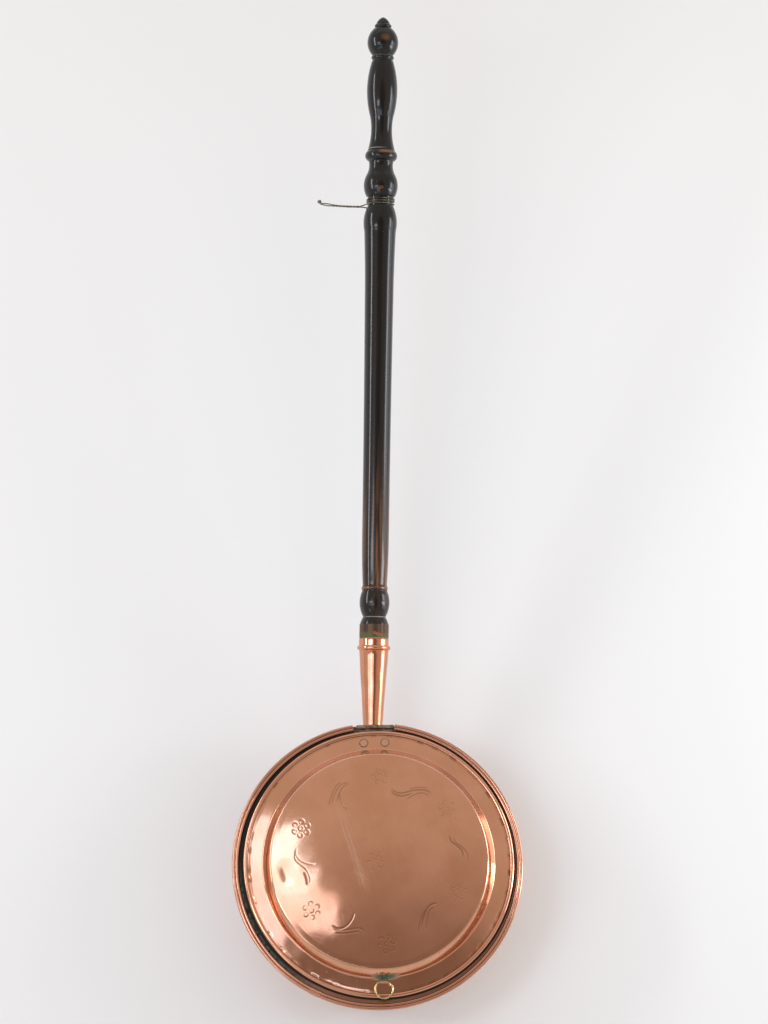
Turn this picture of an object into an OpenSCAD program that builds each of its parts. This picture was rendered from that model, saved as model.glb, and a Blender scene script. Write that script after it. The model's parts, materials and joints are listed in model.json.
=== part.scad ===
// Copper bed warmer with a hinged lid and a long turned handle.
// Millimetres. The pan stands on its flat base at z = 0, centred on the Z axis.
// The lid faces up, its hinge is on the +Y side, and the handle runs along +Y.

/* [Pan] */
// Diameter over the rim band
rim_d = 300; // [260:1:360]
// Height of the ledge that the lid sits on, above the table
pan_h = 84; // [60:1:120]
// Thickness of the pan's copper
pan_t = 1.2; // [0.8:0.1:2]
// Diameter of the flat base
base_d = 220; // [180:1:225]
// Radius of the corner between the base and the wall
base_round = 20; // [12:1:32]
// Width of the ledge, from the mouth to the rim band
ledge_w = 8.2; // [7:0.1:12]
// Radius where the wall turns out into the ledge
ledge_round = 1.2; // [0.8:0.1:1.6]

/* [Rim band] */
// Diameter of each of the two beads along the band
bead_d = 3.7; // [3.2:0.1:4.2]
// Distance between the two beads
bead_pitch = 3.1; // [2.8:0.1:3.6]
// Diameter of the iron wire inside the outer bead
rim_wire_d = 2.2; // [1.6:0.1:2.4]
// Thickness of the band's copper
band_t = 0.8; // [0.6:0.1:1]
// Direction of the lap joint in the band, from +X
lap_at = 245.4; // [200:1:300]
// Length of the lap joint along the rim
lap_len = 12; // [8:1:20]
// How far the lap stands proud of the band
lap_t = 0.35; // [0.2:0.05:0.5]

/* [Lid] */
// Gap between the lid's edge and the rim band
lid_gap = 3.4; // [2.8:0.1:5]
// How far the lid sits off the pan's centre, to the right
lid_shift_x = 1.2; // [-1:0.1:1.5]
// How far the lid sits off the pan's centre, towards the hinge
lid_shift_y = 1.6; // [0:0.1:2]
// Thickness of the lid's copper
lid_t = 1; // [0.7:0.1:1.3]
// Diameter of the rolled edge
roll_d = 5.5; // [5:0.1:6.5]
// Diameter of the iron wire inside the rolled edge
lid_wire_d = 3.2; // [2.4:0.1:3.4]
// Width from the lid's edge to the foot of the raised panel
brim_w = 20.3; // [18:0.1:24]
// Rise of the brim from the rolled edge to that foot
brim_rise = 2.2; // [1:0.1:4]
// Height of the step up to the panel
step_h = 11; // [8:0.1:16]
// Width of the sloping step
step_w = 7.8; // [6:0.1:10]
// Radius at the step's foot and at its top edge
step_round = 2.2; // [1.5:0.1:3]
// Rise of the domed panel at its centre
dome_h = 3.5; // [2:0.1:8]

/* [Hinge] */
// Length of the hinge barrel
hinge_w = 38; // [34:1:46]
// Length of the lid's knuckle, in the middle of the barrel
mid_knuckle_w = 18; // [14:1:20]
// Outer diameter of the barrel
barrel_d = 4.4; // [4:0.1:5]
// Diameter of the iron hinge pin
pin_d = 2.2; // [1.8:0.1:2.4]
// Thickness of the hinge leaves
leaf_t = 1; // [0.8:0.1:1.2]
// Width of the lid's leaf
leaf_w = 34; // [30:1:38]
// Distance between the two rivets in the lid
lid_rivet_pitch = 22; // [18:1:24]
// How far that pair sits off the middle of the hinge
lid_rivet_shift = -1.4; // [-3:0.1:3]
// Diameter of the rivet heads on the lid
lid_head_d = 8.6; // [7:0.1:9.5]
// Diameter of every rivet's shank
shank_d = 3.4; // [2.6:0.1:4]

/* [Lift ring] */
// Diameter of the ring's brass wire
ring_wire_d = 1.9; // [1.5:0.1:2.4]
// Width of the ring, outside
ring_w = 20; // [18:0.5:26]
// Length of the ring, outside
ring_len = 18.5; // [17:0.5:22]
// How far the ring sits to the right of the hinge's middle
ring_x = 4.2; // [-5:0.1:6]
// Width of the copper strap that holds the ring
strap_w = 6.8; // [5:0.1:7]
// Thickness of that strap
strap_t = 0.6; // [0.5:0.1:0.8]
// Distance from the step's foot out to the ring's pivot
ring_out = 4.3; // [4:0.1:5]

/* [Socket] */
// Depth of the handle's axis below the top of the rim
axis_drop = 18; // [17:0.5:24]
// How far the handle's axis passes to the right of the hinge's middle
axis_x = -2.3; // [-5:0.1:5]
// Turn of the handle to the right
handle_skew = 1.5; // [-4:0.1:4]
// Lift of the handle above level
handle_lift = 12; // [8:0.1:14]
// Outer diameter of the socket at the pan
socket_d0 = 20.2; // [18:0.1:24]
// Outer diameter of the socket just under its bead
socket_d1 = 30.4; // [26:0.1:34]
// Diameter of the bead
socket_bead_d = 35; // [32:0.1:38]
// Diameter of the collar above the bead
collar_d = 31.2; // [28:0.1:34]
// Thickness of the socket's copper
socket_t = 1; // [0.8:0.1:1.4]
// Distance from the rim to the end of the collar
socket_len = 92.8; // [80:0.1:120]

/* [Handle] */
// Distance from the rim to the handle's tip
handle_len = 751.8; // [620:0.1:860]
// Diameter of the shaft just above the socket's turnings
shaft_d0 = 25.4; // [22:0.1:28]
// Diameter of the shaft at its middle
shaft_d1 = 28.2; // [25:0.1:31]
// Diameter of the shaft under the wire
shaft_d2 = 33.4; // [30:0.1:37]
// Diameter of the plain band next to the socket
band_d = 30.6; // [28:0.1:33]
// Diameter of the barrel-shaped turning above that band
cask_d = 31.4; // [29:0.1:34]
// Diameter of the bulb between the wire and the grip
bulb_d = 36; // [34:0.1:39]
// Diameter of the grip at its widest
grip_d = 32.2; // [29:0.1:36]
// Diameter of the ball at the end
ball_d = 32.8; // [30:0.1:38]

/* [Hanging wire] */
// Diameter of the wire
wire_d = 1.3; // [1:0.1:1.5]
// Diameter of the wooden neck under the wire
wire_neck_d = 27.4; // [26:0.1:30]
// Rise of the wire for each turn
wire_pitch = 2.5; // [2.1:0.1:2.6]
// Distance between the two strands of the twisted tail
strand_pitch = 2; // [1.8:0.1:2.4]
// Length of the twisted tail
tail_len = 40; // [30:1:50]
// Number of twists in the tail
tail_twists = 4.25; // [3.25:1:5.25]

/* [Clearances] */
// Gap under the lid's edge when it is shut
seat_gap = 0.3; // [0.2:0.05:0.6]
// Gap between a pin and its bore, on the radius
pin_gap = 0.06; // [0.03:0.01:0.1]
// Gap between the knuckles, along the pin
knuckle_gap = 0.3; // [0.2:0.05:0.5]
// Gap between the lift ring and its strap, on the radius
ring_gap = 0.08; // [0.04:0.01:0.15]
// Gap around fixed pieces that fit together
fit_gap = 0.03; // [0.01:0.01:0.06]

/* [Hidden] */
$fn = 96;

copper = [0.74, 0.45, 0.33];
dark_copper = [0.5, 0.33, 0.26];
iron = [0.32, 0.3, 0.28];
brass = [0.78, 0.68, 0.36];
black_wood = [0.1, 0.08, 0.08];
wire_grey = [0.36, 0.33, 0.28];

// Rim band, outside in
rim_r = rim_d / 2;
bead_r = bead_d / 2;
bead_z = pan_h + bead_r - 0.25;
rim_top = bead_z + bead_r;
outer_bead_r = rim_r - bead_r;
inner_bead_r = outer_bead_r - bead_pitch;
band_in_r = inner_bead_r - bead_r;
flange_r = rim_r - band_t - 0.8;

// Pan profile
mouth_r = band_in_r - ledge_w + pan_t;
base_r = base_d / 2;
turn_z = pan_h - pan_t - ledge_round;
wall_run = [mouth_r - base_r, turn_z - base_round];
wall_turn = atan2(wall_run[1], wall_run[0]) - acos(base_round / norm(wall_run));

// Lid profile, from the gap under its edge upwards
lid_r = band_in_r - lid_gap;
lid_seat = pan_h + seat_gap;
roll_r = roll_d / 2;
roll_path_r = lid_r - roll_r;
roll_z = lid_seat + roll_r;
brim_edge_r = roll_path_r - roll_r * cos(30);
brim_edge_z = roll_z + roll_r * sin(30);
foot_r = lid_r - brim_w;
foot_z = brim_edge_z + brim_rise;
panel_r = foot_r - step_w;
panel_z = foot_z + step_h;
dome_r = (panel_r * panel_r + dome_h * dome_h) / (2 * dome_h);
brim_slope = atan2(brim_rise, brim_edge_r - foot_r);
step_slope = atan2(step_h, step_w);

// Hinge: the barrel lies in line with the rim band
barrel_r = barrel_d / 2;
hinge_y = rim_r - 4;
hinge_z = rim_top - barrel_r;
pin_head_r = pin_d / 2 + 0.4;
pin_head_t = 0.6;
notch_w = hinge_w + 2.4;
notch_z = pan_h - pan_t - 0.3;
band_start = 90 + asin((hinge_w / 2 + 4.4) / outer_bead_r);
band_end = 450 - asin((hinge_w / 2 + 1.2) / outer_bead_r);
leaf_z = lid_seat - 0.1;
rivet_r = (foot_r + brim_edge_r) / 2;
wing_x = 26;
wing_z = pan_h - 14;
wing_half = 6;

// Ring and its strap, in the lid's place
ring_r = ring_wire_d / 2;
strap_bore_r = ring_r + ring_gap;
strap_r = strap_bore_r + strap_t;
pivot_y = lid_shift_y - foot_r - ring_out;
pivot_z = foot_z - ring_out * tan(brim_slope) + strap_r + 0.3;
ring_reach = ring_len - ring_wire_d;
ring_half = (ring_w - ring_wire_d) / 2;
ring_fall = asin((pivot_z - (roll_z + roll_r) - ring_r - 0.3) / (ring_out + brim_w - roll_r));
strap_leg_w = 1.6;
strap_leg_t = 2 * strap_t;
strap_leg_z = pivot_z - 0.1;
strap_in_y = lid_shift_y - foot_r + (strap_leg_z - foot_z) / tan(step_slope) + lid_t / sin(step_slope);
strap_slot = 0.1;
bent_w = 4.2;
bent_h = 2.4;
bent_gap = 0.4;

// Handle axis: a point above the rim, where distances along the handle are zero
axis_y = rim_r - 1;
axis_z = rim_top - axis_drop;
saddle_t = 1.2;
saddle_flange_r = socket_d0 / 2 + 2.1;
saddle_x = axis_x - (axis_y - mouth_r) * tan(handle_skew);
saddle_z = axis_z - (axis_y - mouth_r) * tan(handle_lift);
bead_at = socket_len - 9.6;
cone_from = 2;
cone_top = bead_at - 4;
tenon_from = 24;
nail_at = socket_len - 4;
nail_d = 2.6;
nail_head_d = 5.4;
nail_len = 9;

// Rivets
saddle_head_d = 7.6;
saddle_head_h = 2;
wing_head_d = 6.6;
wing_head_h = 1.6;
lid_head_h = 1.3;
plate_gap = 0.1;
burr_h = 1;
past = 12;

// Hanging wire
wire_r = wire_d / 2;
neck_at = handle_len - 197.3;
wind_r = wire_neck_d / 2 + wire_r + 0.15;
wire_sides = 6;
wire_steps = 24;
twist_steps = 8;
tail_x = 22;
tail_s = -5.4;
tail_rise = 5.8;
tail_curl = 3.5;
leave_turn = acos(wind_r / tail_x);
wind_from = 180 - leave_turn;
wind_to = -900 + leave_turn;
wind_s0 = -3.2;
over_r = wire_d + 0.55;

// Unit vector
function unit(v) = v / norm(v);

// Vector turned a quarter turn to the left
function left_of(v) = [-v[1], v[0]];

// Way that point i of a line moves when the line gets a thickness on its left, straight up on the axis
function miter(p, i) =
    let (
        a = unit(i > 0 ? p[i] - p[i - 1] : p[1] - p[0]),
        b = unit(i < len(p) - 1 ? p[i + 1] - p[i] : p[i] - p[i - 1]),
        m = unit(left_of(a) + left_of(b))
    )
    p[i][0] == 0 ? [0, 1] : m / (m * left_of(a));

// Outline of a sheet of thickness t on the left of a line of points
function sheet(p, t) = concat(p, [for (i = [len(p) - 1:-1:0]) p[i] + t * miter(p, i)]);

// Points on an arc
function arc(c, r, a0, a1, n) =
    [for (i = [0:n]) let (a = a0 + (a1 - a0) * i / n) c + r * [cos(a), sin(a)]];

// Points that round the corner b between a and c
function corner(a, b, c, r, n) =
    let (
        u = unit(a - b),
        v = unit(c - b),
        h = acos(u * v) / 2,
        k = b + unit(u + v) * r / sin(h),
        s = b + u * r / tan(h) - k,
        e = b + v * r / tan(h) - k,
        a0 = atan2(s[1], s[0]),
        turn = (atan2(e[1], e[0]) - a0 + 540) % 360 - 180
    )
    arc(k, r, a0, a0 + turn, n);

// Points on an arc from p to q that bulges to the left by rise, without the last point
function bow(p, q, rise, n) =
    let (
        half = norm(q - p) / 2,
        r = (half * half + rise * rise) / (2 * abs(rise)),
        side = sign(rise),
        n_out = left_of(unit(q - p)) * side,
        c = (p + q) / 2 + n_out * (abs(rise) - r),
        a0 = atan2(p[1] - c[1], p[0] - c[0]),
        turn = (atan2(q[1] - c[1], q[0] - c[0]) - a0 + 540) % 360 - 180
    )
    [for (i = [0:n - 1]) let (a = a0 + turn * i / n) c + r * [cos(a), sin(a)]];

// Points on an arc from p to q whose greatest radius is r, without the last point
function belly(p, q, r, n) =
    let (
        l = q[1] - p[1],
        a = r - p[0],
        b = r - q[0],
        k = l * l - a * a + b * b,
        half = 4 * l * l * a - 2 * k * (a - b),
        whole = k * k + 4 * l * l * a * a,
        arc_r = whole / (half + sqrt(max(0, half * half - 4 * pow(a - b, 2) * whole))),
        c = [r - arc_r, p[1] + sqrt(2 * arc_r * a - a * a)],
        a0 = atan2(p[1] - c[1], p[0] - c[0]),
        a1 = atan2(q[1] - c[1], q[0] - c[0])
    )
    [for (i = [0:n - 1]) let (t = a0 + (a1 - a0) * i / n) c + arc_r * [cos(t), sin(t)]];

// Radius of the pan's outer wall at height z
function wall_r(z) = mouth_r - (turn_z - z) * tan(-wall_turn);

// Solid of revolution from an outline, between two directions
module spin(outline, from = 0, to = 360) {
    rotate([0, 0, from])
        rotate_extrude(angle = to - from)
            polygon(outline);
}

// Ring of round section, between two directions
module round_ring(path_r, z, r, from = 0, to = 360) {
    rotate([0, 0, from])
        rotate_extrude(angle = to - from)
            translate([path_r, z])
                circle(r);
}

// Places its children at the lid's centre
module in_lid() {
    translate([lid_shift_x, lid_shift_y, 0])
        children();
}

// Places its children on the hinge axis, which runs along X
module on_hinge() {
    translate([0, hinge_y, hinge_z])
        children();
}

// Rod along X, centred at x
module x_rod(r, length, x = 0) {
    translate([x - length / 2, 0, 0])
        rotate([0, 90, 0])
            cylinder(r = r, h = length);
}

// Turns children that stand along +Z into the handle's axis
module along_handle() {
    translate([axis_x, axis_y, axis_z])
        rotate([handle_lift, 0, -handle_skew])
            rotate([-90, 0, 0])
                children();
}

// Outline of the pan from its centre to its flange, outer face first
module pan_bowl() {
    corner_in = arc([mouth_r + ledge_round, turn_z], ledge_round, 180, 90, 4);
    outer = concat([[0, 0]], arc([base_r, base_round], base_round, -90, wall_turn, 10), corner_in,
        [[flange_r, pan_h - pan_t]]);
    color(copper)
        difference() {
            spin(sheet(outer, pan_t));
            translate([-notch_w / 2, mouth_r - past, notch_z])
                cube([notch_w, rim_r - mouth_r + past, 2 * pan_t]);
            pan_leaf_holes();
            saddle_holes();
        }
}

// Folded copper band with two beads, open where the hinge barrel lies
module pan_rim_band() {
    inset = 0.3;
    skirt_r = rim_r - inset;
    skirt_z = pan_h - pan_t - band_t;
    skirt_round = 1;
    body = concat([[band_in_r + inset, skirt_z]],
        arc([skirt_r - skirt_round, skirt_z + skirt_round], skirt_round, -90, 0, 4),
        [[skirt_r, bead_z], [band_in_r + inset, bead_z]]);
    slot = [[band_in_r - 1, pan_h - pan_t - fit_gap], [flange_r + fit_gap, pan_h - pan_t - fit_gap],
        [flange_r + fit_gap, pan_h + fit_gap], [band_in_r - 1, pan_h + fit_gap]];
    lap_turn = lap_len / rim_r * 180 / PI;
    lap_in = lap_t + 0.15;
    color(copper)
        difference() {
            union() {
                spin(body, band_start, band_end);
                for (r = [inner_bead_r, outer_bead_r])
                    round_ring(r, bead_z, bead_r, band_start, band_end);
                round_ring(inner_bead_r, bead_z, bead_r + lap_t, lap_at - lap_turn, lap_at);
                round_ring(outer_bead_r - lap_in, bead_z, bead_r + lap_t, lap_at - lap_turn, lap_at);
            }
            spin(slot, band_start - 1, band_end + 1);
            round_ring(outer_bead_r, bead_z, rim_wire_d / 2 + fit_gap, band_start - 1, band_end + 1);
        }
}

// Iron wire that stiffens the rim
module pan_rim_wire() {
    color(iron)
        round_ring(outer_bead_r, bead_z, rim_wire_d / 2, band_start + 0.2, band_end - 0.2);
}

// Curved plate on the outside of the wall, out of which an outline is cut
module wall_plate(out, t, top, bottom) {
    gap = out + fit_gap;
    skew = 1 / cos(wall_turn);
    spin([[wall_r(bottom) + gap * skew, bottom], [wall_r(bottom) + (gap + t) * skew, bottom],
        [wall_r(top) + (gap + t) * skew, top], [wall_r(top) + gap * skew, top]], 60, 120);
}

// Pushes a flat outline, drawn as seen from the handle, through the wall
module through_wall() {
    translate([0, rim_r + 5, 0])
        rotate([90, 0, 0])
            linear_extrude(height = rim_r - wall_r(0) + 30)
                children();
}

// Places its children on the wall at x, height z, pointing outwards along +Z
module on_wall(x, z) {
    rotate([0, 0, -asin(x / wall_r(z))])
        translate([0, wall_r(z), z])
            rotate([-90 + wall_turn, 0, 0])
                children();
}

// Where the saddle's four rivets go, from the socket's middle
saddle_rivets = [[-18, -19], [18, -19], [-10, -33], [10, -33]];
saddle_lobe_r = 6.4;
saddle_sides = [
    [-saddle_flange_r, -2], [-23.6, -16], [-15, -38], [15, -38], [23.6, -16], [saddle_flange_r, -2]
];

// Hole for a rivet's shank, along Z through whatever lies at the origin
module rivet_hole() {
    translate([0, 0, -past / 2])
        cylinder(d = shank_d + 2 * fit_gap, h = past);
}

module saddle_holes() {
    for (p = saddle_rivets)
        on_wall(saddle_x + p[0], saddle_z + p[1])
            rivet_hole();
}

// Riveted plate that carries the socket
module socket_saddle() {
    low = saddle_z - 41;
    color(dark_copper)
        difference() {
            intersection() {
                wall_plate(0, saddle_t, saddle_z + 14, low);
                through_wall()
                    translate([saddle_x, saddle_z]) {
                        circle(r = saddle_flange_r);
                        for (p = saddle_rivets)
                            translate(p)
                                circle(r = saddle_lobe_r);
                        polygon(saddle_sides);
                    }
            }
            saddle_holes();
        }
}

// Domed head, shank and inner burr, standing along +Z on a stack of plates
module rivet(head_d, head_h, stack) {
    ball = (head_d * head_d / 4 + head_h * head_h) / (2 * head_h);
    translate([0, 0, fit_gap])
        intersection() {
            translate([0, 0, head_h - ball])
                sphere(r = ball);
            cylinder(d = head_d + 1, h = head_h + 1);
        }
    translate([0, 0, -stack - 2 * fit_gap])
        cylinder(d = shank_d, h = stack + 3 * fit_gap + head_h / 3);
    translate([0, 0, -stack - 2 * fit_gap - burr_h])
        cylinder(d1 = shank_d + 1, d2 = shank_d + 2.4, h = burr_h);
}

// Rivets of the saddle
module socket_rivets() {
    color(copper)
        for (p = saddle_rivets)
            on_wall(saddle_x + p[0], saddle_z + p[1])
                translate([0, 0, saddle_t + plate_gap])
                    rivet(saddle_head_d, saddle_head_h, pan_t + saddle_t + 2 * plate_gap);
}

// Outline of the socket, outer face first, along the handle's axis
module socket_cone() {
    root = -20;
    half_bead = 2.6;
    edge = 0.4;
    cone = [[socket_d0 / 2, root], [socket_d0 / 2, cone_from], [socket_d1 / 2, cone_top]];
    bead = belly([socket_d1 / 2 + edge, bead_at - half_bead], [collar_d / 2, bead_at + half_bead],
        socket_bead_d / 2, 8);
    collar = [[collar_d / 2, bead_at + half_bead], [collar_d / 2, socket_len - edge],
        [collar_d / 2 - edge, socket_len]];
    bore = [[socket_d1 / 2 - socket_t, socket_len], [socket_d1 / 2 - socket_t, cone_top],
        [socket_d0 / 2 - socket_t, cone_from], [socket_d0 / 2 - socket_t, root]];
    skew = 1 / cos(wall_turn);
    face = saddle_t + 3 * fit_gap;
    color(copper)
        difference() {
            along_handle()
                difference() {
                    rotate_extrude()
                        polygon(concat(cone, bead, collar, bore));
                    nail_hole();
                }
            spin([[0, 0], [wall_r(0) + face * skew, 0], [wall_r(pan_h) + face * skew, pan_h], [0, pan_h]]);
        }
}

// Hole for the nail, from below
module nail_hole() {
    translate([0, collar_d / 2 - nail_len, nail_at])
        rotate([-90, 0, 0])
            cylinder(d = nail_d + 2 * fit_gap, h = collar_d);
}

// Nail that keeps the handle in its socket
module socket_nail() {
    under_head = 0.3;
    head_h = 1.2;
    head_r = nail_head_d * 0.8;
    color(iron)
        along_handle()
            translate([0, collar_d / 2 + under_head, nail_at])
                rotate([-90, 0, 0]) {
                    translate([0, 0, -nail_len])
                        cylinder(d = nail_d, h = nail_len + head_h / 2);
                    intersection() {
                        translate([0, 0, head_h - head_r])
                            sphere(r = head_r);
                        cylinder(d = nail_head_d, h = 2 * head_h);
                    }
                }
}

// Radius of the socket's bore at distance s
function bore_r(s) =
    s > cone_top
        ? socket_d1 / 2 - socket_t
        : socket_d0 / 2 - socket_t + (socket_d1 - socket_d0) / 2 * (s - cone_from) / (cone_top - cone_from);

// Ebonised wood, turned in one piece with the tenon that fills the socket
module wooden_handle() {
    c = socket_len;
    e = handle_len;
    gap = 0.1;
    face = c + 0.2;
    slim = cask_d / 2 - 3.7;
    low = shaft_d0 / 2;
    mid = shaft_d1 / 2;
    top = shaft_d2 / 2;
    neck = wire_neck_d / 2;
    waist = bulb_d / 2 - 5.2;
    throat = grip_d / 2 - 4;
    tenon = [[0, tenon_from], [bore_r(tenon_from) - gap, tenon_from], [bore_r(cone_top) - gap, cone_top],
        [bore_r(cone_top) - gap, face]];
    band = [[band_d / 2, face], [band_d / 2, c + 14.6]];
    bevel = bow([band_d / 2 - 0.3, c + 15.4], [slim, c + 22.6], -0.3, 4);
    cask = belly([slim, c + 23.4], [cask_d / 2 - 2.3, c + 49.6], cask_d / 2, 12);
    thin_ring = belly([low + 0.4, c + 50.6], [low + 0.4, c + 55.2], low + 1.1, 6);
    shaft_low = bow([low, c + 56], [mid, c + 105], -0.35, 8);
    shaft_mid = bow([mid, c + 105], [mid + 1, e - 301], 0.25, 6);
    shaft_top = bow([mid + 1, e - 301], [top, e - 229], 0.35, 8);
    shoulder = bow([top, e - 229], [neck, e - 202.2], -2.2, 10);
    wire_neck = [[neck, e - 202.2], [neck, e - 192.6]];
    bulb = belly([bulb_d / 2 - 3, e - 192.2], [bulb_d / 2 - 2.8, e - 169], bulb_d / 2, 12);
    cove = bow([bulb_d / 2 - 2.8, e - 169], [waist + 0.2, e - 154.6], 1.35, 8);
    bead = belly([waist + 0.4, e - 154.4], [waist + 2.6, e - 144.6], bulb_d / 2 - 1, 8);
    hollow = bow([waist + 1.9, e - 143.8], [throat + 0.1, e - 107.2], 2.2, 12);
    grip = belly([throat + 0.1, e - 107.2], [throat - 0.7, e - 47.6], grip_d / 2, 16);
    taper = bow([throat - 0.7, e - 47.6], [throat - 1.5, e - 46], 0.2, 3);
    collar_ring = belly([throat - 0.9, e - 45.6], [throat - 0.9, e - 41.8], throat - 0.1, 6);
    ball = belly([ball_d / 2 - 5.4, e - 41], [ball_d / 2 - 8.1, e - 11.4], ball_d / 2, 16);
    tip_bead = belly([8.2, e - 11.2], [7.7, e - 8], 9, 5);
    tip = bow([7.4, e - 7.6], [0, e], -1.2, 6);
    color(black_wood)
        along_handle()
            difference() {
                rotate_extrude()
                    polygon(concat(tenon, band, bevel, cask, thin_ring, shaft_low, shaft_mid, shaft_top,
                        shoulder, wire_neck, bulb, cove, bead, hollow, grip, taper, collar_ring, ball,
                        tip_bead, tip, [[0, e]]));
                nail_hole();
            }
}

// Height of the wire along the handle at a point of the winding
function wind_s(a) = wind_s0 + wire_pitch * (wind_from - a) / 360;

// Share of the way along the last, crossing part of the winding
function crossing(a) = max(0, (-720 - a) / (-720 - wind_to));

// Smooth step from 0 to 1
function ease(t) = let (u = min(1, max(0, t))) u * u * (3 - 2 * u);

// Point of the winding, which crosses back over itself behind the handle
function wind_point(a) =
    let (
        t = crossing(a),
        r = wind_r + over_r * ease(t * 3.2),
        s = wind_s(a) * (1 - ease(t)) + (tail_s + 0.6) * ease(t)
    )
    [r * cos(a), -r * sin(a), s];

// Middle line of the tail at share u of its length
function tail_mid(u) = [-tail_x - tail_len * u, 0, tail_s + tail_rise * pow(u, tail_curl)];

// Half the distance between the strands, wider where they part
function part_r(u) = strand_pitch / 2 + 0.8 * ease((u - 0.78) / 0.07) * (1 - ease((u - 0.9) / 0.07));

// Point of one strand, where side is 1 or -1
function strand(u, side) =
    let (a = 360 * tail_twists * min(u, 0.76) / 0.76 - 90)
    tail_mid(u) + side * part_r(u) * [0, sin(a), cos(a)];

// End loop of the first strand
function end_loop(a) =
    let (e = tail_mid(1), r = 1.75)
    e + [-r * sin(a) - 0.4 * a / 360, 0.9 * a / 360, strand_pitch / 2 + r - r * cos(a)];

tail_steps = round(tail_twists * twist_steps) + 6;
wind_steps = round((wind_from - wind_to) / 360 * wire_steps);

// The whole wire as one line: loop, strand, winding, strand
wire_path = concat(
    [for (i = [11:-1:1]) end_loop(i * 24)],
    [for (i = [tail_steps:-1:0]) strand(i / tail_steps, 1)],
    [for (i = [0:wind_steps]) wind_point(wind_from + (wind_to - wind_from) * i / wind_steps)],
    [for (i = [0:tail_steps]) strand(i / tail_steps, -1)]
);

// Least distance between points of the wire that are not neighbours along it, less its diameter
function least_gap(p, d, skip) =
    min([for (i = [0:len(p) - 1 - skip], j = [i + skip:len(p) - 1]) norm(p[i] - p[j])]) - d;

wire_gap = least_gap(wire_path, wire_d, 6);
echo(str("hanging wire, least gap to itself in mm: ", wire_gap));

// Tube of round section along a line of points
module tube(p, r, sides) {
    n = len(p);
    along = [for (i = [0:n - 1]) unit(p[min(i + 1, n - 1)] - p[max(i - 1, 0)])];
    across = [
        for (i = 0, u = unit(cross(along[0], [0, 0.3, 1])); i < n;
            i = i + 1, u = i < n ? unit(u - (u * along[i]) * along[i]) : u) u
    ];
    points = [
        for (i = [0:n - 1], k = [0:sides - 1])
            let (a = 360 * k / sides)
            p[i] + r * (cos(a) * across[i] + sin(a) * cross(along[i], across[i]))
    ];
    walls = [
        for (i = [0:n - 2], k = [0:sides - 1])
            let (a = i * sides + k, b = i * sides + (k + 1) % sides)
            each [[a, a + sides, b], [b, a + sides, b + sides]]
    ];
    first_cap = [for (k = [1:sides - 2]) [0, k, k + 1]];
    last = (n - 1) * sides;
    last_cap = [for (k = [1:sides - 2]) [last, last + k + 1, last + k]];
    polyhedron(points, concat(walls, first_cap, last_cap));
}

// Stiff wire wound round the neck, with its ends twisted into a tail
module hanging_wire() {
    color(wire_grey)
        along_handle()
            translate([0, 0, neck_at])
                tube(wire_path, wire_r, wire_sides);
}

// Places its children at the two wings of the fixed leaf
module on_wings() {
    for (side = [-1, 1])
        on_wall(side * wing_x, wing_z)
            children();
}

module pan_leaf_holes() {
    on_wings()
        rivet_hole();
}

// Fixed leaf: two knuckles, two straps over the notch and two riveted wings
module hinge_pan_leaf() {
    knuckle_w = (hinge_w - mid_knuckle_w) / 2 - knuckle_gap;
    knuckle_x = (hinge_w - knuckle_w) / 2;
    strap_in = mid_knuckle_w / 2 + knuckle_gap;
    wing_top = pan_h - 7;
    wing_low = wing_z - wing_half;
    strap_r_out = hinge_y + barrel_r - leaf_t;
    gap = fit_gap / cos(wall_turn);
    half_leaf = [[strap_in, 4], [strap_in, -5], [wing_x - 8, -9.4], [wing_x - 8, -16], [wing_x - 4, -19.4],
        [wing_x + 4, -19.4], [wing_x + 7, -16], [wing_x + 7, -12], [wing_x + 4, -8.6], [hinge_w / 2, -4],
        [hinge_w / 2, 4]];
    line = [[strap_r_out, hinge_z - 1.6], [strap_r_out, pan_h - 4], [wall_r(wing_top) + gap, wing_top],
        [wall_r(wing_low) + gap, wing_low]];
    color(dark_copper)
        difference() {
            union() {
                on_hinge()
                    for (side = [-1, 1])
                        x_rod(barrel_r, knuckle_w, side * knuckle_x);
                intersection() {
                    spin(sheet(line, leaf_t), 60, 120);
                    through_wall()
                        for (side = [-1, 1])
                            scale([side, 1])
                                translate([0, pan_h])
                                    polygon(half_leaf);
                }
            }
            on_hinge()
                x_rod(pin_d / 2 + pin_gap, hinge_w + 2);
            pan_leaf_holes();
        }
}

// Rivets of the fixed leaf
module hinge_pan_rivets() {
    color(copper)
        on_wings()
            translate([0, 0, leaf_t + plate_gap])
                rivet(wing_head_d, wing_head_h, pan_t + leaf_t + 2 * plate_gap);
}

// Iron pin through all three knuckles
module hinge_pin() {
    color(iron)
        on_hinge() {
            x_rod(pin_d / 2, hinge_w + pin_head_t);
            for (side = [-1, 1])
                x_rod(pin_head_r, pin_head_t, side * (hinge_w + pin_head_t + 0.4) / 2);
        }
}

// Places its children on top of the brim at x from the hinge's middle, standing along its normal
module on_brim(x) {
    in_lid()
        rotate([0, 0, -asin((x - lid_shift_x) / rivet_r)])
            translate([0, rivet_r, brim_edge_z + (brim_edge_r - rivet_r) * tan(brim_slope)])
                rotate([-brim_slope, 0, 0])
                    children();
}

module lid_rivet_holes() {
    for (side = [-0.5, 0.5])
        on_brim(lid_rivet_shift + side * lid_rivet_pitch)
            rivet_hole();
}

// Places its children at the strap's two legs, with +X away from the other leg
module on_strap_legs() {
    translate([ring_x, 0, 0])
        for (side = [0, 1])
            mirror([side, 0, 0])
                translate([(strap_w - strap_leg_w) / 2, 0, 0])
                    children();
}

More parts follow.
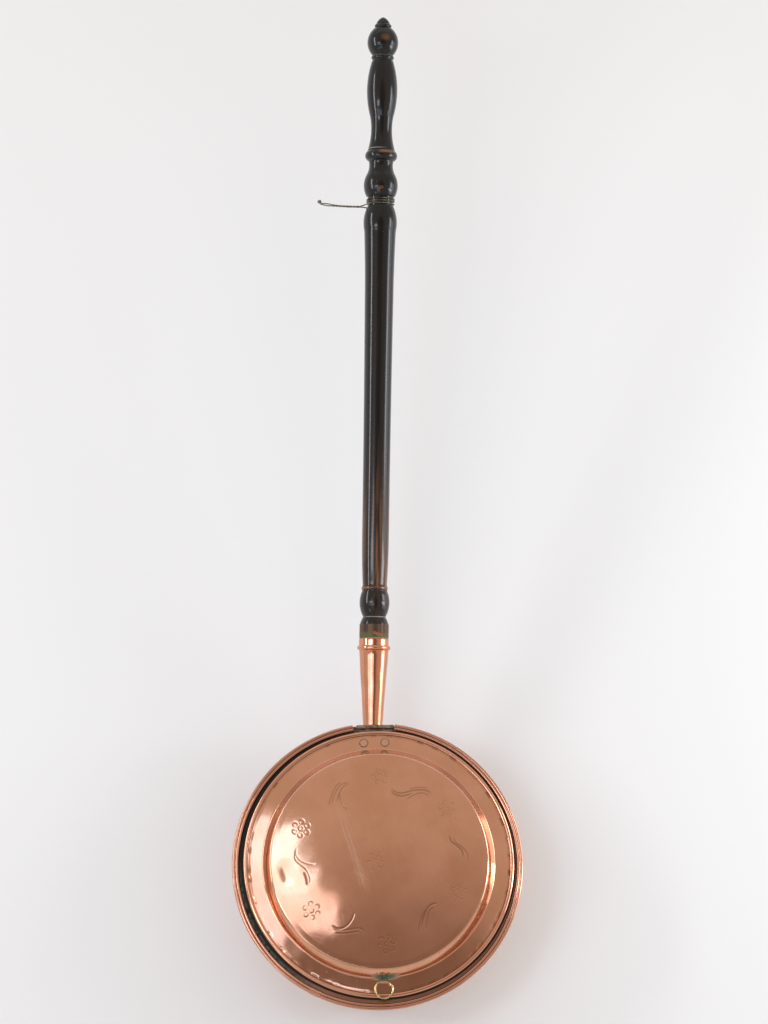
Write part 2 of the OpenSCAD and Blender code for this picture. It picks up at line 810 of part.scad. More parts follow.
// Raised lid: domed panel, step, brim and rolled edge
module lid_shell() {
    centre_z = panel_z + dome_h - dome_r;
    dome_to = asin((panel_r - 4) / dome_r);
    hole_w = strap_leg_w + 2 * strap_slot;
    hole_h = strap_leg_t + 2 * strap_slot;
    top = concat(arc([0, centre_z], dome_r, 90, 90 - dome_to, 10),
        corner([0, panel_z + dome_h / 2], [panel_r, panel_z], [foot_r, foot_z], step_round, 6),
        corner([panel_r, panel_z], [foot_r, foot_z], [brim_edge_r, brim_edge_z], step_round, 6),
        [[brim_edge_r, brim_edge_z], [brim_edge_r + 1, brim_edge_z - 1 * tan(brim_slope)]]);
    color(copper)
        difference() {
            in_lid()
                difference() {
                    union() {
                        spin(sheet(top, -lid_t));
                        round_ring(roll_path_r, roll_z, roll_r);
                    }
                    round_ring(roll_path_r, roll_z, lid_wire_d / 2 + fit_gap);
                }
            lid_rivet_holes();
            on_strap_legs()
                translate([0, strap_in_y - past / 2, strap_leg_z])
                    cube([hole_w, past + 4, hole_h], center = true);
        }
}

// Iron wire inside the lid's rolled edge
module lid_edge_wire() {
    color(iron)
        in_lid()
            round_ring(roll_path_r, roll_z, lid_wire_d / 2);
}

// Moving leaf: the middle knuckle and a plate that runs under the rolled edge to the brim
module hinge_lid_leaf() {
    in_r = foot_r + 3;
    rise_y = lid_shift_y + sqrt(pow(roll_path_r - roll_r, 2) - pow(leaf_w / 2 + lid_shift_x, 2)) - 0.6;
    under = lid_t / cos(brim_slope) + 0.35;
    brim_at = lid_shift_y + brim_edge_r - 2.6;
    line = [[hinge_y - 0.6, leaf_z], [rise_y, leaf_z],
        [brim_at, brim_edge_z + 2.6 * tan(brim_slope) - under],
        [lid_shift_y + in_r, brim_edge_z + (brim_edge_r - in_r) * tan(brim_slope) - under]];
    wide_to = hinge_y - barrel_r - 0.4;
    color(dark_copper)
        difference() {
            union() {
                on_hinge()
                    x_rod(barrel_r, mid_knuckle_w);
                intersection() {
                    translate([-leaf_w / 2, 0, 0])
                        rotate([90, 0, 90])
                            linear_extrude(height = leaf_w)
                                polygon(sheet(line, leaf_t));
                    union() {
                        translate([-leaf_w / 2, 0, 0])
                            cube([leaf_w, wide_to, 2 * pan_h]);
                        translate([-mid_knuckle_w / 2, 0, 0])
                            cube([mid_knuckle_w, rim_r, 2 * pan_h]);
                    }
                }
            }
            on_hinge()
                x_rod(pin_d / 2 + pin_gap, hinge_w);
            lid_rivet_holes();
        }
}

// Flat-headed rivets through the brim and the moving leaf
module hinge_lid_rivets() {
    color(copper)
        for (side = [-0.5, 0.5])
            on_brim(lid_rivet_shift + side * lid_rivet_pitch)
                rivet(lid_head_d, lid_head_h, lid_t + leaf_t + 5 * plate_gap);
}

// Copper strap folded round the ring: its two legs pass through the step and are bent apart behind it
module ring_strap() {
    back_y = strap_in_y + bent_gap + strap_t;
    color(dark_copper)
        difference() {
            union() {
                translate([0, pivot_y, pivot_z])
                    x_rod(strap_r, strap_w, ring_x);
                on_strap_legs() {
                    translate([-strap_leg_w / 2, pivot_y, strap_leg_z - strap_leg_t / 2])
                        cube([strap_leg_w, back_y - pivot_y, strap_leg_t]);
                    translate([0, strap_in_y, strap_leg_z])
                        rotate([step_slope - 90, 0, 0])
                            translate([-strap_leg_w / 2, bent_gap, -bent_h / 2])
                                cube([bent_w, strap_t, bent_h]);
                }
            }
            translate([0, pivot_y, pivot_z])
                x_rod(strap_bore_r, strap_w + 1, ring_x);
        }
}

// Rod between two points in the ring's own plane
module ring_rod(a, b) {
    translate([a[0], a[1], 0])
        rotate([0, 0, atan2(b[1] - a[1], b[0] - a[0])])
            rotate([0, 90, 0])
                cylinder(r = ring_r, h = norm(b - a));
}

// Bend in the ring's own plane
module ring_bend(c, r, from, to) {
    translate([c[0], c[1], 0])
        round_ring(r, 0, ring_r, from, to);
}

// Squashed brass ring whose ends lie side by side at one corner
module lift_ring() {
    bar = 4;
    top_r = ring_half - bar;
    low_y = ring_half - ring_reach;
    inner_r = 2.6;
    inner_x = bar + inner_r;
    color(brass)
        translate([ring_x, pivot_y, pivot_z])
            rotate([ring_fall, 0, 0]) {
                ring_rod([-bar, 0], [bar, 0]);
                ring_bend([-bar, -top_r], top_r, 90, 180);
                ring_rod([-ring_half, -top_r], [-ring_half, low_y]);
                ring_bend([0, low_y], ring_half, 180, 360);
                ring_rod([ring_half, low_y], [ring_half, -inner_r - 0.6]);
                ring_bend([bar, -inner_r], inner_r, 0, 90);
                ring_rod([inner_x, -inner_r], [inner_x, -inner_r - 5]);
            }
}

pan_bowl();
pan_rim_band();
pan_rim_wire();
socket_saddle();
socket_rivets();
socket_cone();
socket_nail();
wooden_handle();
hanging_wire();
hinge_pan_leaf();
hinge_pan_rivets();
hinge_pin();
lid_shell();
lid_edge_wire();
hinge_lid_leaf();
hinge_lid_rivets();
ring_strap();
lift_ring();
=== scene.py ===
"""Looks of a copper bed warmer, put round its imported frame: pan, hinged lid, lift ring and turned handle.

Sizes are millimetres in the row frame, with the table at z = 0, the lid facing +Z and the handle along +Y.
Meshes are made in metres.
"""

import json
import logging
import math
from dataclasses import dataclass, field
from enum import Enum
from itertools import accumulate

import bpy
import numpy as np
from mathutils import Matrix, Vector


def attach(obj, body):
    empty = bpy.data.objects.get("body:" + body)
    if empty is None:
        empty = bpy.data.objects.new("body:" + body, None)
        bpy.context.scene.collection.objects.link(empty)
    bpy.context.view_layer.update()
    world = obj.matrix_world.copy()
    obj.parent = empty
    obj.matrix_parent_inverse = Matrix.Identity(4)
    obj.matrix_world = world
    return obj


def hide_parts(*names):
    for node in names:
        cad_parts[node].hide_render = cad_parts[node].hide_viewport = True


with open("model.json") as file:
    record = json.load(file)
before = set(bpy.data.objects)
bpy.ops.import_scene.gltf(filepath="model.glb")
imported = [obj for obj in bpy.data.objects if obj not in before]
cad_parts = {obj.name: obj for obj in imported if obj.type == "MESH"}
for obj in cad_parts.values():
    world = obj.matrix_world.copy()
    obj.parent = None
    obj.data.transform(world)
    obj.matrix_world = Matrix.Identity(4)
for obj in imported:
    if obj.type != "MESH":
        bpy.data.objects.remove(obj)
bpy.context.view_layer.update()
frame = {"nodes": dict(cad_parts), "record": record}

LOG = logging.getLogger("bed_warmer")
MM = 0.001
WORKED = "worked"

Colour = tuple[float, float, float]
Point = tuple[float, float]
Place = tuple[float, float, float]
Number = "Signal | float"

DAYLIGHT: Colour = (0.7, 1.0, 1.3)


class Body(Enum):
    """The three bodies that move against each other."""

    PAN = "pan_and_handle"
    LID = "lid"
    RING = "ring"


class Slot(Enum):
    """The record's material slots."""

    COPPER = "copper"
    AGED_COPPER = "aged_copper"
    BRASS_WIRE = "brass_wire"
    TARNISHED_WIRE = "tarnished_wire"
    IRON_WIRE = "iron_wire"
    EBONISED_WOOD = "ebonised_wood"


class Ends(Enum):
    """How the first and last rows of a grid are closed."""

    FLAT = "flat"
    JOINED = "joined"


class Signal:
    """A value on a shader socket, whose arithmetic adds Math nodes."""

    def __init__(self, recipe: "Recipe", socket: bpy.types.NodeSocket) -> None:
        """Keeps the recipe that the value belongs to and its socket."""
        self.recipe = recipe
        self.socket = socket

    def _math(self, operation: str, *values: Number) -> "Signal":
        """Adds one Math node.

        Args:
            operation: Name of the node's operation.
            values: Its inputs, in order.

        Returns:
            The result.
        """
        return self.recipe.node("ShaderNodeMath", {"operation": operation}, dict(enumerate(values)))

    def __add__(self, other: Number) -> "Signal":
        """Sum."""
        return self._math("ADD", self, other)

    def __radd__(self, other: Number) -> "Signal":
        """Sum with a plain number first."""
        return self._math("ADD", other, self)

    def __sub__(self, other: Number) -> "Signal":
        """Difference."""
        return self._math("SUBTRACT", self, other)

    def __rsub__(self, other: Number) -> "Signal":
        """Difference from a plain number."""
        return self._math("SUBTRACT", other, self)

    def __mul__(self, other: Number) -> "Signal":
        """Product."""
        return self._math("MULTIPLY", self, other)

    def __rmul__(self, other: Number) -> "Signal":
        """Product with a plain number first."""
        return self._math("MULTIPLY", other, self)

    def __abs__(self) -> "Signal":
        """Size without its sign."""
        return self._math("ABSOLUTE", self)

    def root(self) -> "Signal":
        """Square root."""
        return self._math("SQRT", self)

    def at_most(self, other: Number) -> "Signal":
        """The smaller of two values."""
        return self._math("MINIMUM", self, other)

    def at_least(self, other: Number) -> "Signal":
        """The larger of two values."""
        return self._math("MAXIMUM", self, other)

    def ramp(self, low: float, high: float) -> "Signal":
        """Smooth step: 0 at low and 1 at high, falling where low is above high."""
        settings = {"interpolation_type": "SMOOTHSTEP"}
        if low > high:
            return 1.0 - self.ramp(high, low)
        return self.recipe.node("ShaderNodeMapRange", settings, {0: self, 1: low, 2: high, 3: 0.0, 4: 1.0})

    def near(self, middle: float, half: float, soft: float) -> "Signal":
        """Bump that is 1 within half of the middle and fades over soft on either side."""
        return abs(self - middle).ramp(half + soft, half)

    def other(self, name: str) -> "Signal":
        """Another output of the same node."""
        return Signal(self.recipe, self.socket.node.outputs[name])


class Recipe:
    """Nodes of one material or world, and the few patterns that the finishes share."""

    def __init__(self, tree: bpy.types.NodeTree, coordinates: str = "Object") -> None:
        """Starts an empty tree that reads the given coordinates."""
        self.tree = tree
        self.tree.nodes.clear()
        self.place = self.node("ShaderNodeTexCoord", {}, {}, coordinates)

    def node(
        self, kind: str, settings: dict[str, object], inputs: dict[int | str, object], output: int | str = 0
    ) -> Signal:
        """Adds a node of any kind.

        Args:
            kind: The node's type.
            settings: Its properties, set before its sockets.
            inputs: Values or links of its sockets, by name or number.
            output: The output to hand back.

        Returns:
            That output.
        """
        made = self.tree.nodes.new(kind)
        for name, value in settings.items():
            setattr(made, name, value)
        for key, value in inputs.items():
            if isinstance(value, Signal):
                self.tree.links.new(value.socket, made.inputs[key])
            else:
                made.inputs[key].default_value = value
        return Signal(self, made.outputs[output] if made.outputs else None)

    def along(self, direction: Place, origin: Place) -> Signal:
        """Distance in millimetres from a point, which is in millimetres too, measured along a direction."""
        start = tuple(c * MM for c in origin)
        scaled = tuple(c / MM for c in direction)
        offset = self.node("ShaderNodeVectorMath", {"operation": "SUBTRACT"}, {0: self.place, 1: start})
        return self.node("ShaderNodeVectorMath", {"operation": "DOT_PRODUCT"}, {0: offset, 1: scaled}, "Value")

    def axes(self) -> tuple[Signal, Signal, Signal]:
        """The three coordinates, in millimetres."""
        scaled = self.node("ShaderNodeVectorMath", {"operation": "SCALE"}, {0: self.place, "Scale": 1 / MM})
        x = self.node("ShaderNodeSeparateXYZ", {}, {0: scaled}, "X")
        return x, x.other("Y"), x.other("Z")

    def radius(self, x: Signal, y: Signal, centre: Point = (0.0, 0.0)) -> Signal:
        """Distance from an upright axis, in millimetres."""
        dx = x - centre[0]
        dy = y - centre[1]
        return (dx * dx + dy * dy).root()

    def noise(
        self, size: Place | float, seed: float, detail: float = 2.0, turn: Place = (0.0, 0.0, 0.0)
    ) -> Signal:
        """Cloudy noise from about 0.3 to 0.7.

        Args:
            size: Size of its patches in millimetres, or one size for each axis.
            seed: Which noise it is.
            detail: How many finer octaves it has.
            turn: How its axes are turned, in degrees.

        Returns:
            The noise.
        """
        sizes = (size,) * 3 if isinstance(size, (int, float)) else size
        mapping = {
            "Vector": self.place,
            "Rotation": tuple(math.radians(a) for a in turn),
            "Scale": tuple(s * MM for s in sizes),
        }
        turned = self.node("ShaderNodeMapping", {"vector_type": "TEXTURE"}, mapping)
        inputs = {"Vector": turned, "W": seed, "Detail": detail, "Scale": 1.0}
        return self.node("ShaderNodeTexNoise", {"noise_dimensions": "4D"}, inputs)

    def hairlines(self, seed: float, turn: float, width: float = 0.5, length: float = 30.0) -> Signal:
        """Mask of fine straight scratches in one direction, from noise that is stretched along them."""
        lines = self.noise((width, length, length), seed, 1.0, (0.0, 0.0, turn))
        return lines.ramp(0.6, 0.7) * self.noise(18.0, seed + 7.0, 1.0).ramp(0.45, 0.62)

    def mark(self, name: str) -> Signal:
        """A number that the mesh carries at each of its points."""
        return self.node("ShaderNodeAttribute", {"attribute_name": name}, {}, "Fac")

    def tint(self, share: Number, first: Signal | Colour, second: Signal | Colour) -> Signal:
        """Blend of two colours."""
        pair = [c if isinstance(c, Signal) else (*c, 1.0) for c in (first, second)]
        return self.node("ShaderNodeMix", {"data_type": "RGBA"}, {0: share, 6: pair[0], 7: pair[1]}, 2)

    def bump(self, height: Signal) -> Signal:
        """Surface normal from a height in millimetres."""
        return self.node("ShaderNodeBump", {}, {"Strength": 1.0, "Distance": MM, "Height": height})

    def surface(self, shader: dict[str, object]) -> None:
        """Adds the shader with these inputs and the output."""
        face = self.node("ShaderNodeBsdfPrincipled", {}, shader)
        self.node("ShaderNodeOutputMaterial", {}, {"Surface": face})


def new_recipe(name: str) -> tuple[bpy.types.Material, Recipe]:
    """Makes a material and the recipe that fills it."""
    material = bpy.data.materials.new(name)
    material.use_nodes = True
    return material, Recipe(material.node_tree)


def ease(t: np.ndarray) -> np.ndarray:
    """Smooth step from 0 to 1: three t squared less two t cubed, with t kept between 0 and 1."""
    t = np.clip(t, 0.0, 1.0)
    return t * t * (3.0 - 2.0 * t)


def unit(v: np.ndarray) -> np.ndarray:
    """Vectors of length 1 in the same directions."""
    return v / np.linalg.norm(v, axis=-1, keepdims=True)


def line(p: Point, q: Point, count: int = 2) -> np.ndarray:
    """Evenly spaced points on the straight line from p to q."""
    return np.linspace(p, q, count)


def arc(centre: Point, radius: float, start: float, end: float, count: int = 16) -> np.ndarray:
    """Points centre + radius (cos a, sin a), with a from start to end in degrees."""
    a = np.radians(np.linspace(start, end, count))
    return np.array(centre) + radius * np.column_stack((np.cos(a), np.sin(a)))


def arc_between(centre: np.ndarray, p: np.ndarray, q: np.ndarray, count: int) -> np.ndarray:
    """The shorter arc about a centre from p to q."""
    start = math.degrees(math.atan2(p[1] - centre[1], p[0] - centre[0]))
    turn = math.degrees(math.atan2(q[1] - centre[1], q[0] - centre[0])) - start
    turn = (turn + 540.0) % 360.0 - 180.0
    return arc(centre, math.dist(p, centre), start, start + turn, count)


def corner(a: Point, b: Point, c: Point, radius: float, count: int = 8) -> np.ndarray:
    """Rounds the corner b between a and c: an arc that touches both lines, its centre on their bisector."""
    a, b, c = (np.array(v, float) for v in (a, b, c))
    u, v = unit(a - b), unit(c - b)
    half = math.acos(float(u @ v)) / 2
    centre = b + unit(u + v) * radius / math.sin(half)
    return arc_between(centre, b + u * radius / math.tan(half), b + v * radius / math.tan(half), count)


def bow(p: Point, q: Point, rise: float, count: int = 24) -> np.ndarray:
    """Arc from p to q that bulges to the left by rise; half the chord and the rise give its radius."""
    p, q = np.array(p, float), np.array(q, float)
    half = np.linalg.norm(q - p) / 2
    radius = (half * half + rise * rise) / (2 * abs(rise))
    way = unit(q - p)
    outward = np.array([-way[1], way[0]]) * math.copysign(1.0, rise)
    return arc_between((p + q) / 2 + outward * (abs(rise) - radius), p, q, count)


def belly(p: Point, q: Point, widest: float, count: int = 32) -> np.ndarray:
    """Arc from p to q whose greatest distance from the axis is widest.

    With l the length and a and b the distances of p and q below the widest point, the arc's radius R solves
    sqrt(2 R a - a a) + sqrt(2 R b - b b) = l.
    """
    length, a, b = q[1] - p[1], widest - p[0], widest - q[0]
    k = length * length - a * a + b * b
    half = 4 * length * length * a - 2 * k * (a - b)
    whole = k * k + 4 * length * length * a * a
    radius = whole / (half + math.sqrt(max(0.0, half * half - 4 * (a - b) ** 2 * whole)))
    centre = np.array([widest - radius, p[1] + math.sqrt(2 * radius * a - a * a)])
    return arc_between(centre, np.array(p), np.array(q), count)


def run_of(points: np.ndarray) -> np.ndarray:
    """Length along a line of points, from its start to each of them."""
    return np.concatenate(([0.0], np.cumsum(np.linalg.norm(np.diff(points, axis=0), axis=1))))


def resample(points: np.ndarray, run: np.ndarray, at: np.ndarray) -> np.ndarray:
    """Points at the given values of a running measure, straight between the old ones."""
    return np.column_stack([np.interp(at, run, points[:, i]) for i in range(points.shape[1])])


def soften(outline: np.ndarray, step: float, width: float) -> np.ndarray:
    """Outline resampled at a step and averaged over a width, as polish rounds every edge.

    Each point becomes the mean of its neighbours, weighted by a bell curve of their distance.
    """
    run = run_of(outline)
    fine = resample(outline, run, np.linspace(0.0, run[-1], int(run[-1] / step) + 1))
    reach = int(3 * width / step)
    bell = np.exp(-0.5 * (np.arange(-reach, reach + 1) * step / width) ** 2)
    padded = np.pad(fine, ((reach, reach), (0, 0)), "reflect", reflect_type="odd")
    return np.column_stack([np.convolve(padded[:, i], bell / bell.sum(), "valid") for i in range(2)])


def thin_out(outline: np.ndarray, step: float, angle: float) -> np.ndarray:
    """Keeps about one point for each step of length or angle of turn, in degrees, whichever comes first."""
    way = np.diff(outline, axis=0)
    heading = np.unwrap(np.arctan2(way[:, 1], way[:, 0]))
    turn = np.concatenate(([0.0], np.abs(np.diff(heading)), [0.0]))
    measure = run_of(outline) / step + np.cumsum(np.degrees(turn)) / angle
    return resample(outline, measure, np.linspace(0.0, measure[-1], int(measure[-1]) + 2))


def turned(outline: np.ndarray, around: int) -> np.ndarray:
    """Grid of a turned shape: outline point (r, s) at angle a becomes (r cos a, r sin a, s)."""
    a = np.linspace(0.0, 2 * np.pi, around, endpoint=False)
    r, s = outline[:, :1], outline[:, 1:]
    return np.stack((r * np.cos(a), r * np.sin(a), s + 0.0 * a), axis=-1)


def ripple(x: np.ndarray, y: np.ndarray, size: float, height: float, seed: int) -> np.ndarray:
    """Hand-made unevenness: a sum of plane waves with seeded directions, lengths near size, and phases."""
    rng = np.random.default_rng(seed)
    waves = 14
    way = rng.uniform(0.0, 2 * np.pi, waves)
    number = 2 * np.pi / (size * rng.uniform(0.7, 1.6, waves))
    phase = rng.uniform(0.0, 2 * np.pi, waves)
    flat = np.stack((x, y), axis=-1) @ (np.array([np.cos(way), np.sin(way)]) * number)
    return height * np.sin(flat + phase).sum(axis=-1) / math.sqrt(waves / 2)


def skin(name: str, rows: np.ndarray, ends: Ends = Ends.FLAT, crease: float = 50.0) -> bpy.types.Object:
    """Closed surface through a grid of points.

    Point (i, j) is joined to (i + 1, j) and (i, j + 1), and j always wraps round. Flat ends get one face each.
    The faces are turned over if the volume that they enclose comes out negative.

    Args:
        name: The piece's name.
        rows: The grid, in millimetres, as rows by columns by three.
        ends: How the first and last rows are closed.
        crease: Angle in degrees past which an edge stays sharp.

    Returns:
        The piece.
    """
    count, around = rows.shape[:2]
    index = np.arange(count * around).reshape(count, around)
    here = index if ends is Ends.JOINED else index[:-1]
    after = np.roll(index, -1, axis=0) if ends is Ends.JOINED else index[1:]
    quads = np.stack((here, np.roll(here, -1, axis=1), np.roll(after, -1, axis=1), after), axis=-1).reshape(-1, 4)
    caps = [] if ends is Ends.JOINED else [index[0, ::-1], index[-1]]
    points = rows.reshape(-1, 3)
    corners = points[quads]
    volume = (corners[:, 0] * np.cross(corners[:, 1], corners[:, 2])).sum()
    volume += (corners[:, 0] * np.cross(corners[:, 2], corners[:, 3])).sum()
    for cap in caps:
        fan = points[cap]
        volume += (fan[0] * np.cross(fan[1:-1], fan[2:])).sum()
    if volume < 0:
        quads = quads[:, ::-1]
        caps = [cap[::-1] for cap in caps]
    sizes = np.concatenate((np.full(len(quads), 4), [len(cap) for cap in caps])).astype(np.int32)
    mesh = bpy.data.meshes.new(name)
    mesh.vertices.add(len(points))
    mesh.vertices.foreach_set("co", (points * MM).astype(np.float32).ravel())
    mesh.loops.add(int(sizes.sum()))
    mesh.loops.foreach_set("vertex_index", np.concatenate([quads.ravel(), *caps]).astype(np.int32))
    mesh.polygons.add(len(sizes))
    mesh.polygons.foreach_set("loop_start", np.concatenate(([0], np.cumsum(sizes)[:-1])).astype(np.int32))
    mesh.update(calc_edges=True)
    mesh.validate()
    mesh.shade_smooth()
    mesh.set_sharp_from_angle(angle=math.radians(crease))
    piece = bpy.data.objects.new(name, mesh)
    bpy.context.scene.collection.objects.link(piece)
    return piece


def carry(side: np.ndarray, way: np.ndarray) -> np.ndarray:
    """Brings a side vector square to the next direction of a path."""
    return unit(side - (side @ way) * way)


def tube(path: np.ndarray, radius: float, sides: int) -> np.ndarray:
    """Grid of a round wire along a path, with domed ends.

    Ring i lies square to the path at point i. Past each end, rings at angle b stand radius sin b further out
    and have radius cos b.
    """
    ahead = np.vstack((path[1:], 2 * path[-1] - path[-2]))
    behind = np.vstack((2 * path[0] - path[1], path[:-1]))
    way = unit(ahead - behind)
    start = unit(np.cross(way[0], (0.1, 0.3, 1.0)))
    across = np.array(list(accumulate(way, carry, initial=start)))[1:]
    b = np.radians((80.0, 60.0, 35.0))
    near_end = path[0] - radius * np.sin(b)[:, None] * way[0]
    far_end = path[-1] + radius * np.sin(b[::-1])[:, None] * way[-1]
    centres = np.vstack((near_end, path, far_end))
    radii = radius * np.concatenate((np.cos(b), np.ones(len(path)), np.cos(b[::-1])))
    way = np.vstack((np.repeat(way[:1], 3, axis=0), way, np.repeat(way[-1:], 3, axis=0)))
    across = np.vstack((np.repeat(across[:1], 3, axis=0), across, np.repeat(across[-1:], 3, axis=0)))
    third = np.cross(way, across)
    a = np.linspace(0.0, 2 * np.pi, sides, endpoint=False)[None, :, None]
    ring = np.cos(a) * across[:, None] + np.sin(a) * third[:, None]
    return centres[:, None] + radii[:, None, None] * ring


def install(piece: bpy.types.Object, body: Body, slot: Slot, materials: list[bpy.types.Material], *nodes: str) -> None:
    """Gives a new piece its materials and body, and hides the nodes that it stands for."""
    for material in materials:
        piece.data.materials.append(material)
    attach(piece, body.value)
    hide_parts(*nodes)
    LOG.info("%s: %d faces, on %s", piece.name, len(piece.data.polygons), body.value)


@dataclass(frozen=True)
class CopperFinish:
    """Hand-polished copper: warm metal with fine scratches, dull clouds and tarnish in its hollows."""

    name: str
    clean: Colour = (0.74, 0.39, 0.26)
    warm: Colour = (0.68, 0.335, 0.21)
    tarnish: Colour = (0.16, 0.075, 0.045)
    verdigris: Colour = (0.075, 0.145, 0.11)
    smooth: float = 0.055
    dull: float = 0.1
    scratched: float = 1.0
    clouds: float = 42.0
    seed: float = 0.0

    def green(self, r: Recipe) -> Signal | None:
        """Where verdigris has grown, or None."""
        return None

    def worked(self, r: Recipe) -> Signal | None:
        """Where the tarnish colour goes, or None: chased lines and grooves that hold tarnish, and painted shade in some
        finishes.
        """
        return None

    def haze_and_sheen(self, r: Recipe) -> Signal | None:
        """Where the polish is rubbed dull and paler, and where a paler painted sheen is laid on, or None."""
        return None

    def green_tone(self, r: Recipe) -> Signal | Colour:
        """Colour of the verdigris."""
        return self.verdigris

    def build(self) -> bpy.types.Material:
        """Makes the material."""
        material, r = new_recipe(self.name)
        clouds = r.noise(self.clouds, self.seed, 4.0).ramp(0.35, 0.68)
        specks = r.noise(2.6, self.seed + 2.0, 3.0).ramp(0.66, 0.74)
        lines = r.hairlines(self.seed + 3.0, 12.0) + r.hairlines(self.seed + 4.0, 71.0)
        lines = (lines + r.hairlines(self.seed + 5.0, -38.0)).at_most(1.0) * self.scratched
        rubbed = r.noise((0.9, 24.0, 24.0), self.seed + 8.0, 3.0, (0.0, 0.0, 24.0)).ramp(0.36, 0.64)
        colour = r.tint((clouds * 0.8 + rubbed * 0.2).at_most(1.0), self.clean, self.warm)
        colour = r.tint(specks * 0.35, colour, self.tarnish)
        rough = self.smooth + clouds * (self.dull - self.smooth) + lines * 0.06 + specks * 0.2 + rubbed * 0.01
        height = r.noise(9.0, self.seed + 6.0, 2.0) * 0.01 - lines * 0.001
        metal = 1.0
        worked = self.worked(r)
        if worked is not None:
            colour = r.tint(worked, colour, self.tarnish)
            rough = rough + worked * 0.2
        haze_and_sheen = self.haze_and_sheen(r)
        if haze_and_sheen is not None:
            # The pale tint marks rubbed polish, and painted sheen on the lid's step.
            colour = r.tint(haze_and_sheen * 0.3, colour, (0.86, 0.66, 0.54))
            rough = rough + haze_and_sheen * 0.2
        green = self.green(r)
        if green is not None:
            colour = r.tint(green, colour, self.green_tone(r))
            rough = (rough + green * 0.6).at_most(0.9)
            metal = 1.0 - green
        shader = {"Base Color": colour, "Metallic": metal, "Roughness": rough, "Normal": r.bump(height)}
        r.surface(shader)
        return material


@dataclass(frozen=True)
class PanCopper(CopperFinish):
    """Copper of the pan, whose ledge is black with painted shade all round close to the lid's edge, and with dirt and
    verdigris to the left and lower left.
    """

    ledge: Point = (135.0, 145.0)
    lid_at: Point = (1.2, 1.6)
    lid_r: float = 139.8
    towards: Place = (-0.97, 0.24, 0.0)
    verdigris_way: Place = (-0.8, -0.6, 0.0)
    # Black of both dirt on the ledge and painted shade under the lid's edge.
    dirt_and_shade: Colour = (0.009, 0.008, 0.005)
    verdigris: Colour = (0.07, 0.125, 0.095)

    def shelf(self, r: Recipe) -> Signal:
        """The whole ledge, and the top of the wall inside it."""
        x, y, z = r.axes()
        return r.radius(x, y).ramp(self.ledge[0] - 3.0, self.ledge[0]) * z.ramp(80.0, 82.4)

    def green(self, r: Recipe) -> Signal:
        """Black on the ledge: dirt on its left, and painted shade all round it close to the lid's edge."""
        x, y, _ = r.axes()
        # Painted shade: a black band round the ledge just inside the lid's edge, where the lid's roll shades it.
        close = r.radius(x, y, self.lid_at).ramp(self.lid_r + 1.7, self.lid_r + 0.7)
        left = r.along(self.towards, (0.0, 0.0, 0.0)).ramp(15.0, 85.0)
        return self.shelf(r) * (close + left).at_most(1.0) * 0.97

    def worked(self, r: Recipe) -> Signal:
        """The whole ledge is darkened with the tarnish colour and dulled."""
        return self.shelf(r) * 0.8

    def green_tone(self, r: Recipe) -> Signal:
        """Verdigris in patches on the black of dirt and painted shade, most of it to the lower left."""
        sector = r.along(self.verdigris_way, (0.0, 0.0, 0.0)).ramp(100.0, 140.0)
        x, y, _ = r.axes()
        outer = r.radius(x, y).ramp(139.5, 141.2)
        patches = r.noise(3.4, 14.0, 4.0).ramp(0.38, 0.56)
        return r.tint(sector * patches * outer, self.dirt_and_shade, self.verdigris)


@dataclass(frozen=True)
class BandCopper(CopperFinish):
    """Copper of the rim band, darkened between its beads and at its foot, with painted shade on its inner side next to
    the ledge.
    """

    clean: Colour = (0.69, 0.345, 0.235)
    warm: Colour = (0.6, 0.29, 0.185)
    groove_r: float = 146.6
    inner_r: float = 143.9

    def worked(self, r: Recipe) -> Signal:
        """The groove and the foot, darkened, and the inner side, darkened as painted shade."""
        x, y, z = r.axes()
        ring = r.radius(x, y)
        # Painted shade: the inner side is darkened to stand for its reflection of the dark gap.
        inner = ring.ramp(self.inner_r + 0.5, self.inner_r - 0.4)
        groove = ring.near(self.groove_r, 0.4, 0.45) * z.ramp(87.5, 86.5)
        return (inner + groove * 0.9 + z.ramp(84.2, 83.0)).at_most(1.0) * 0.92


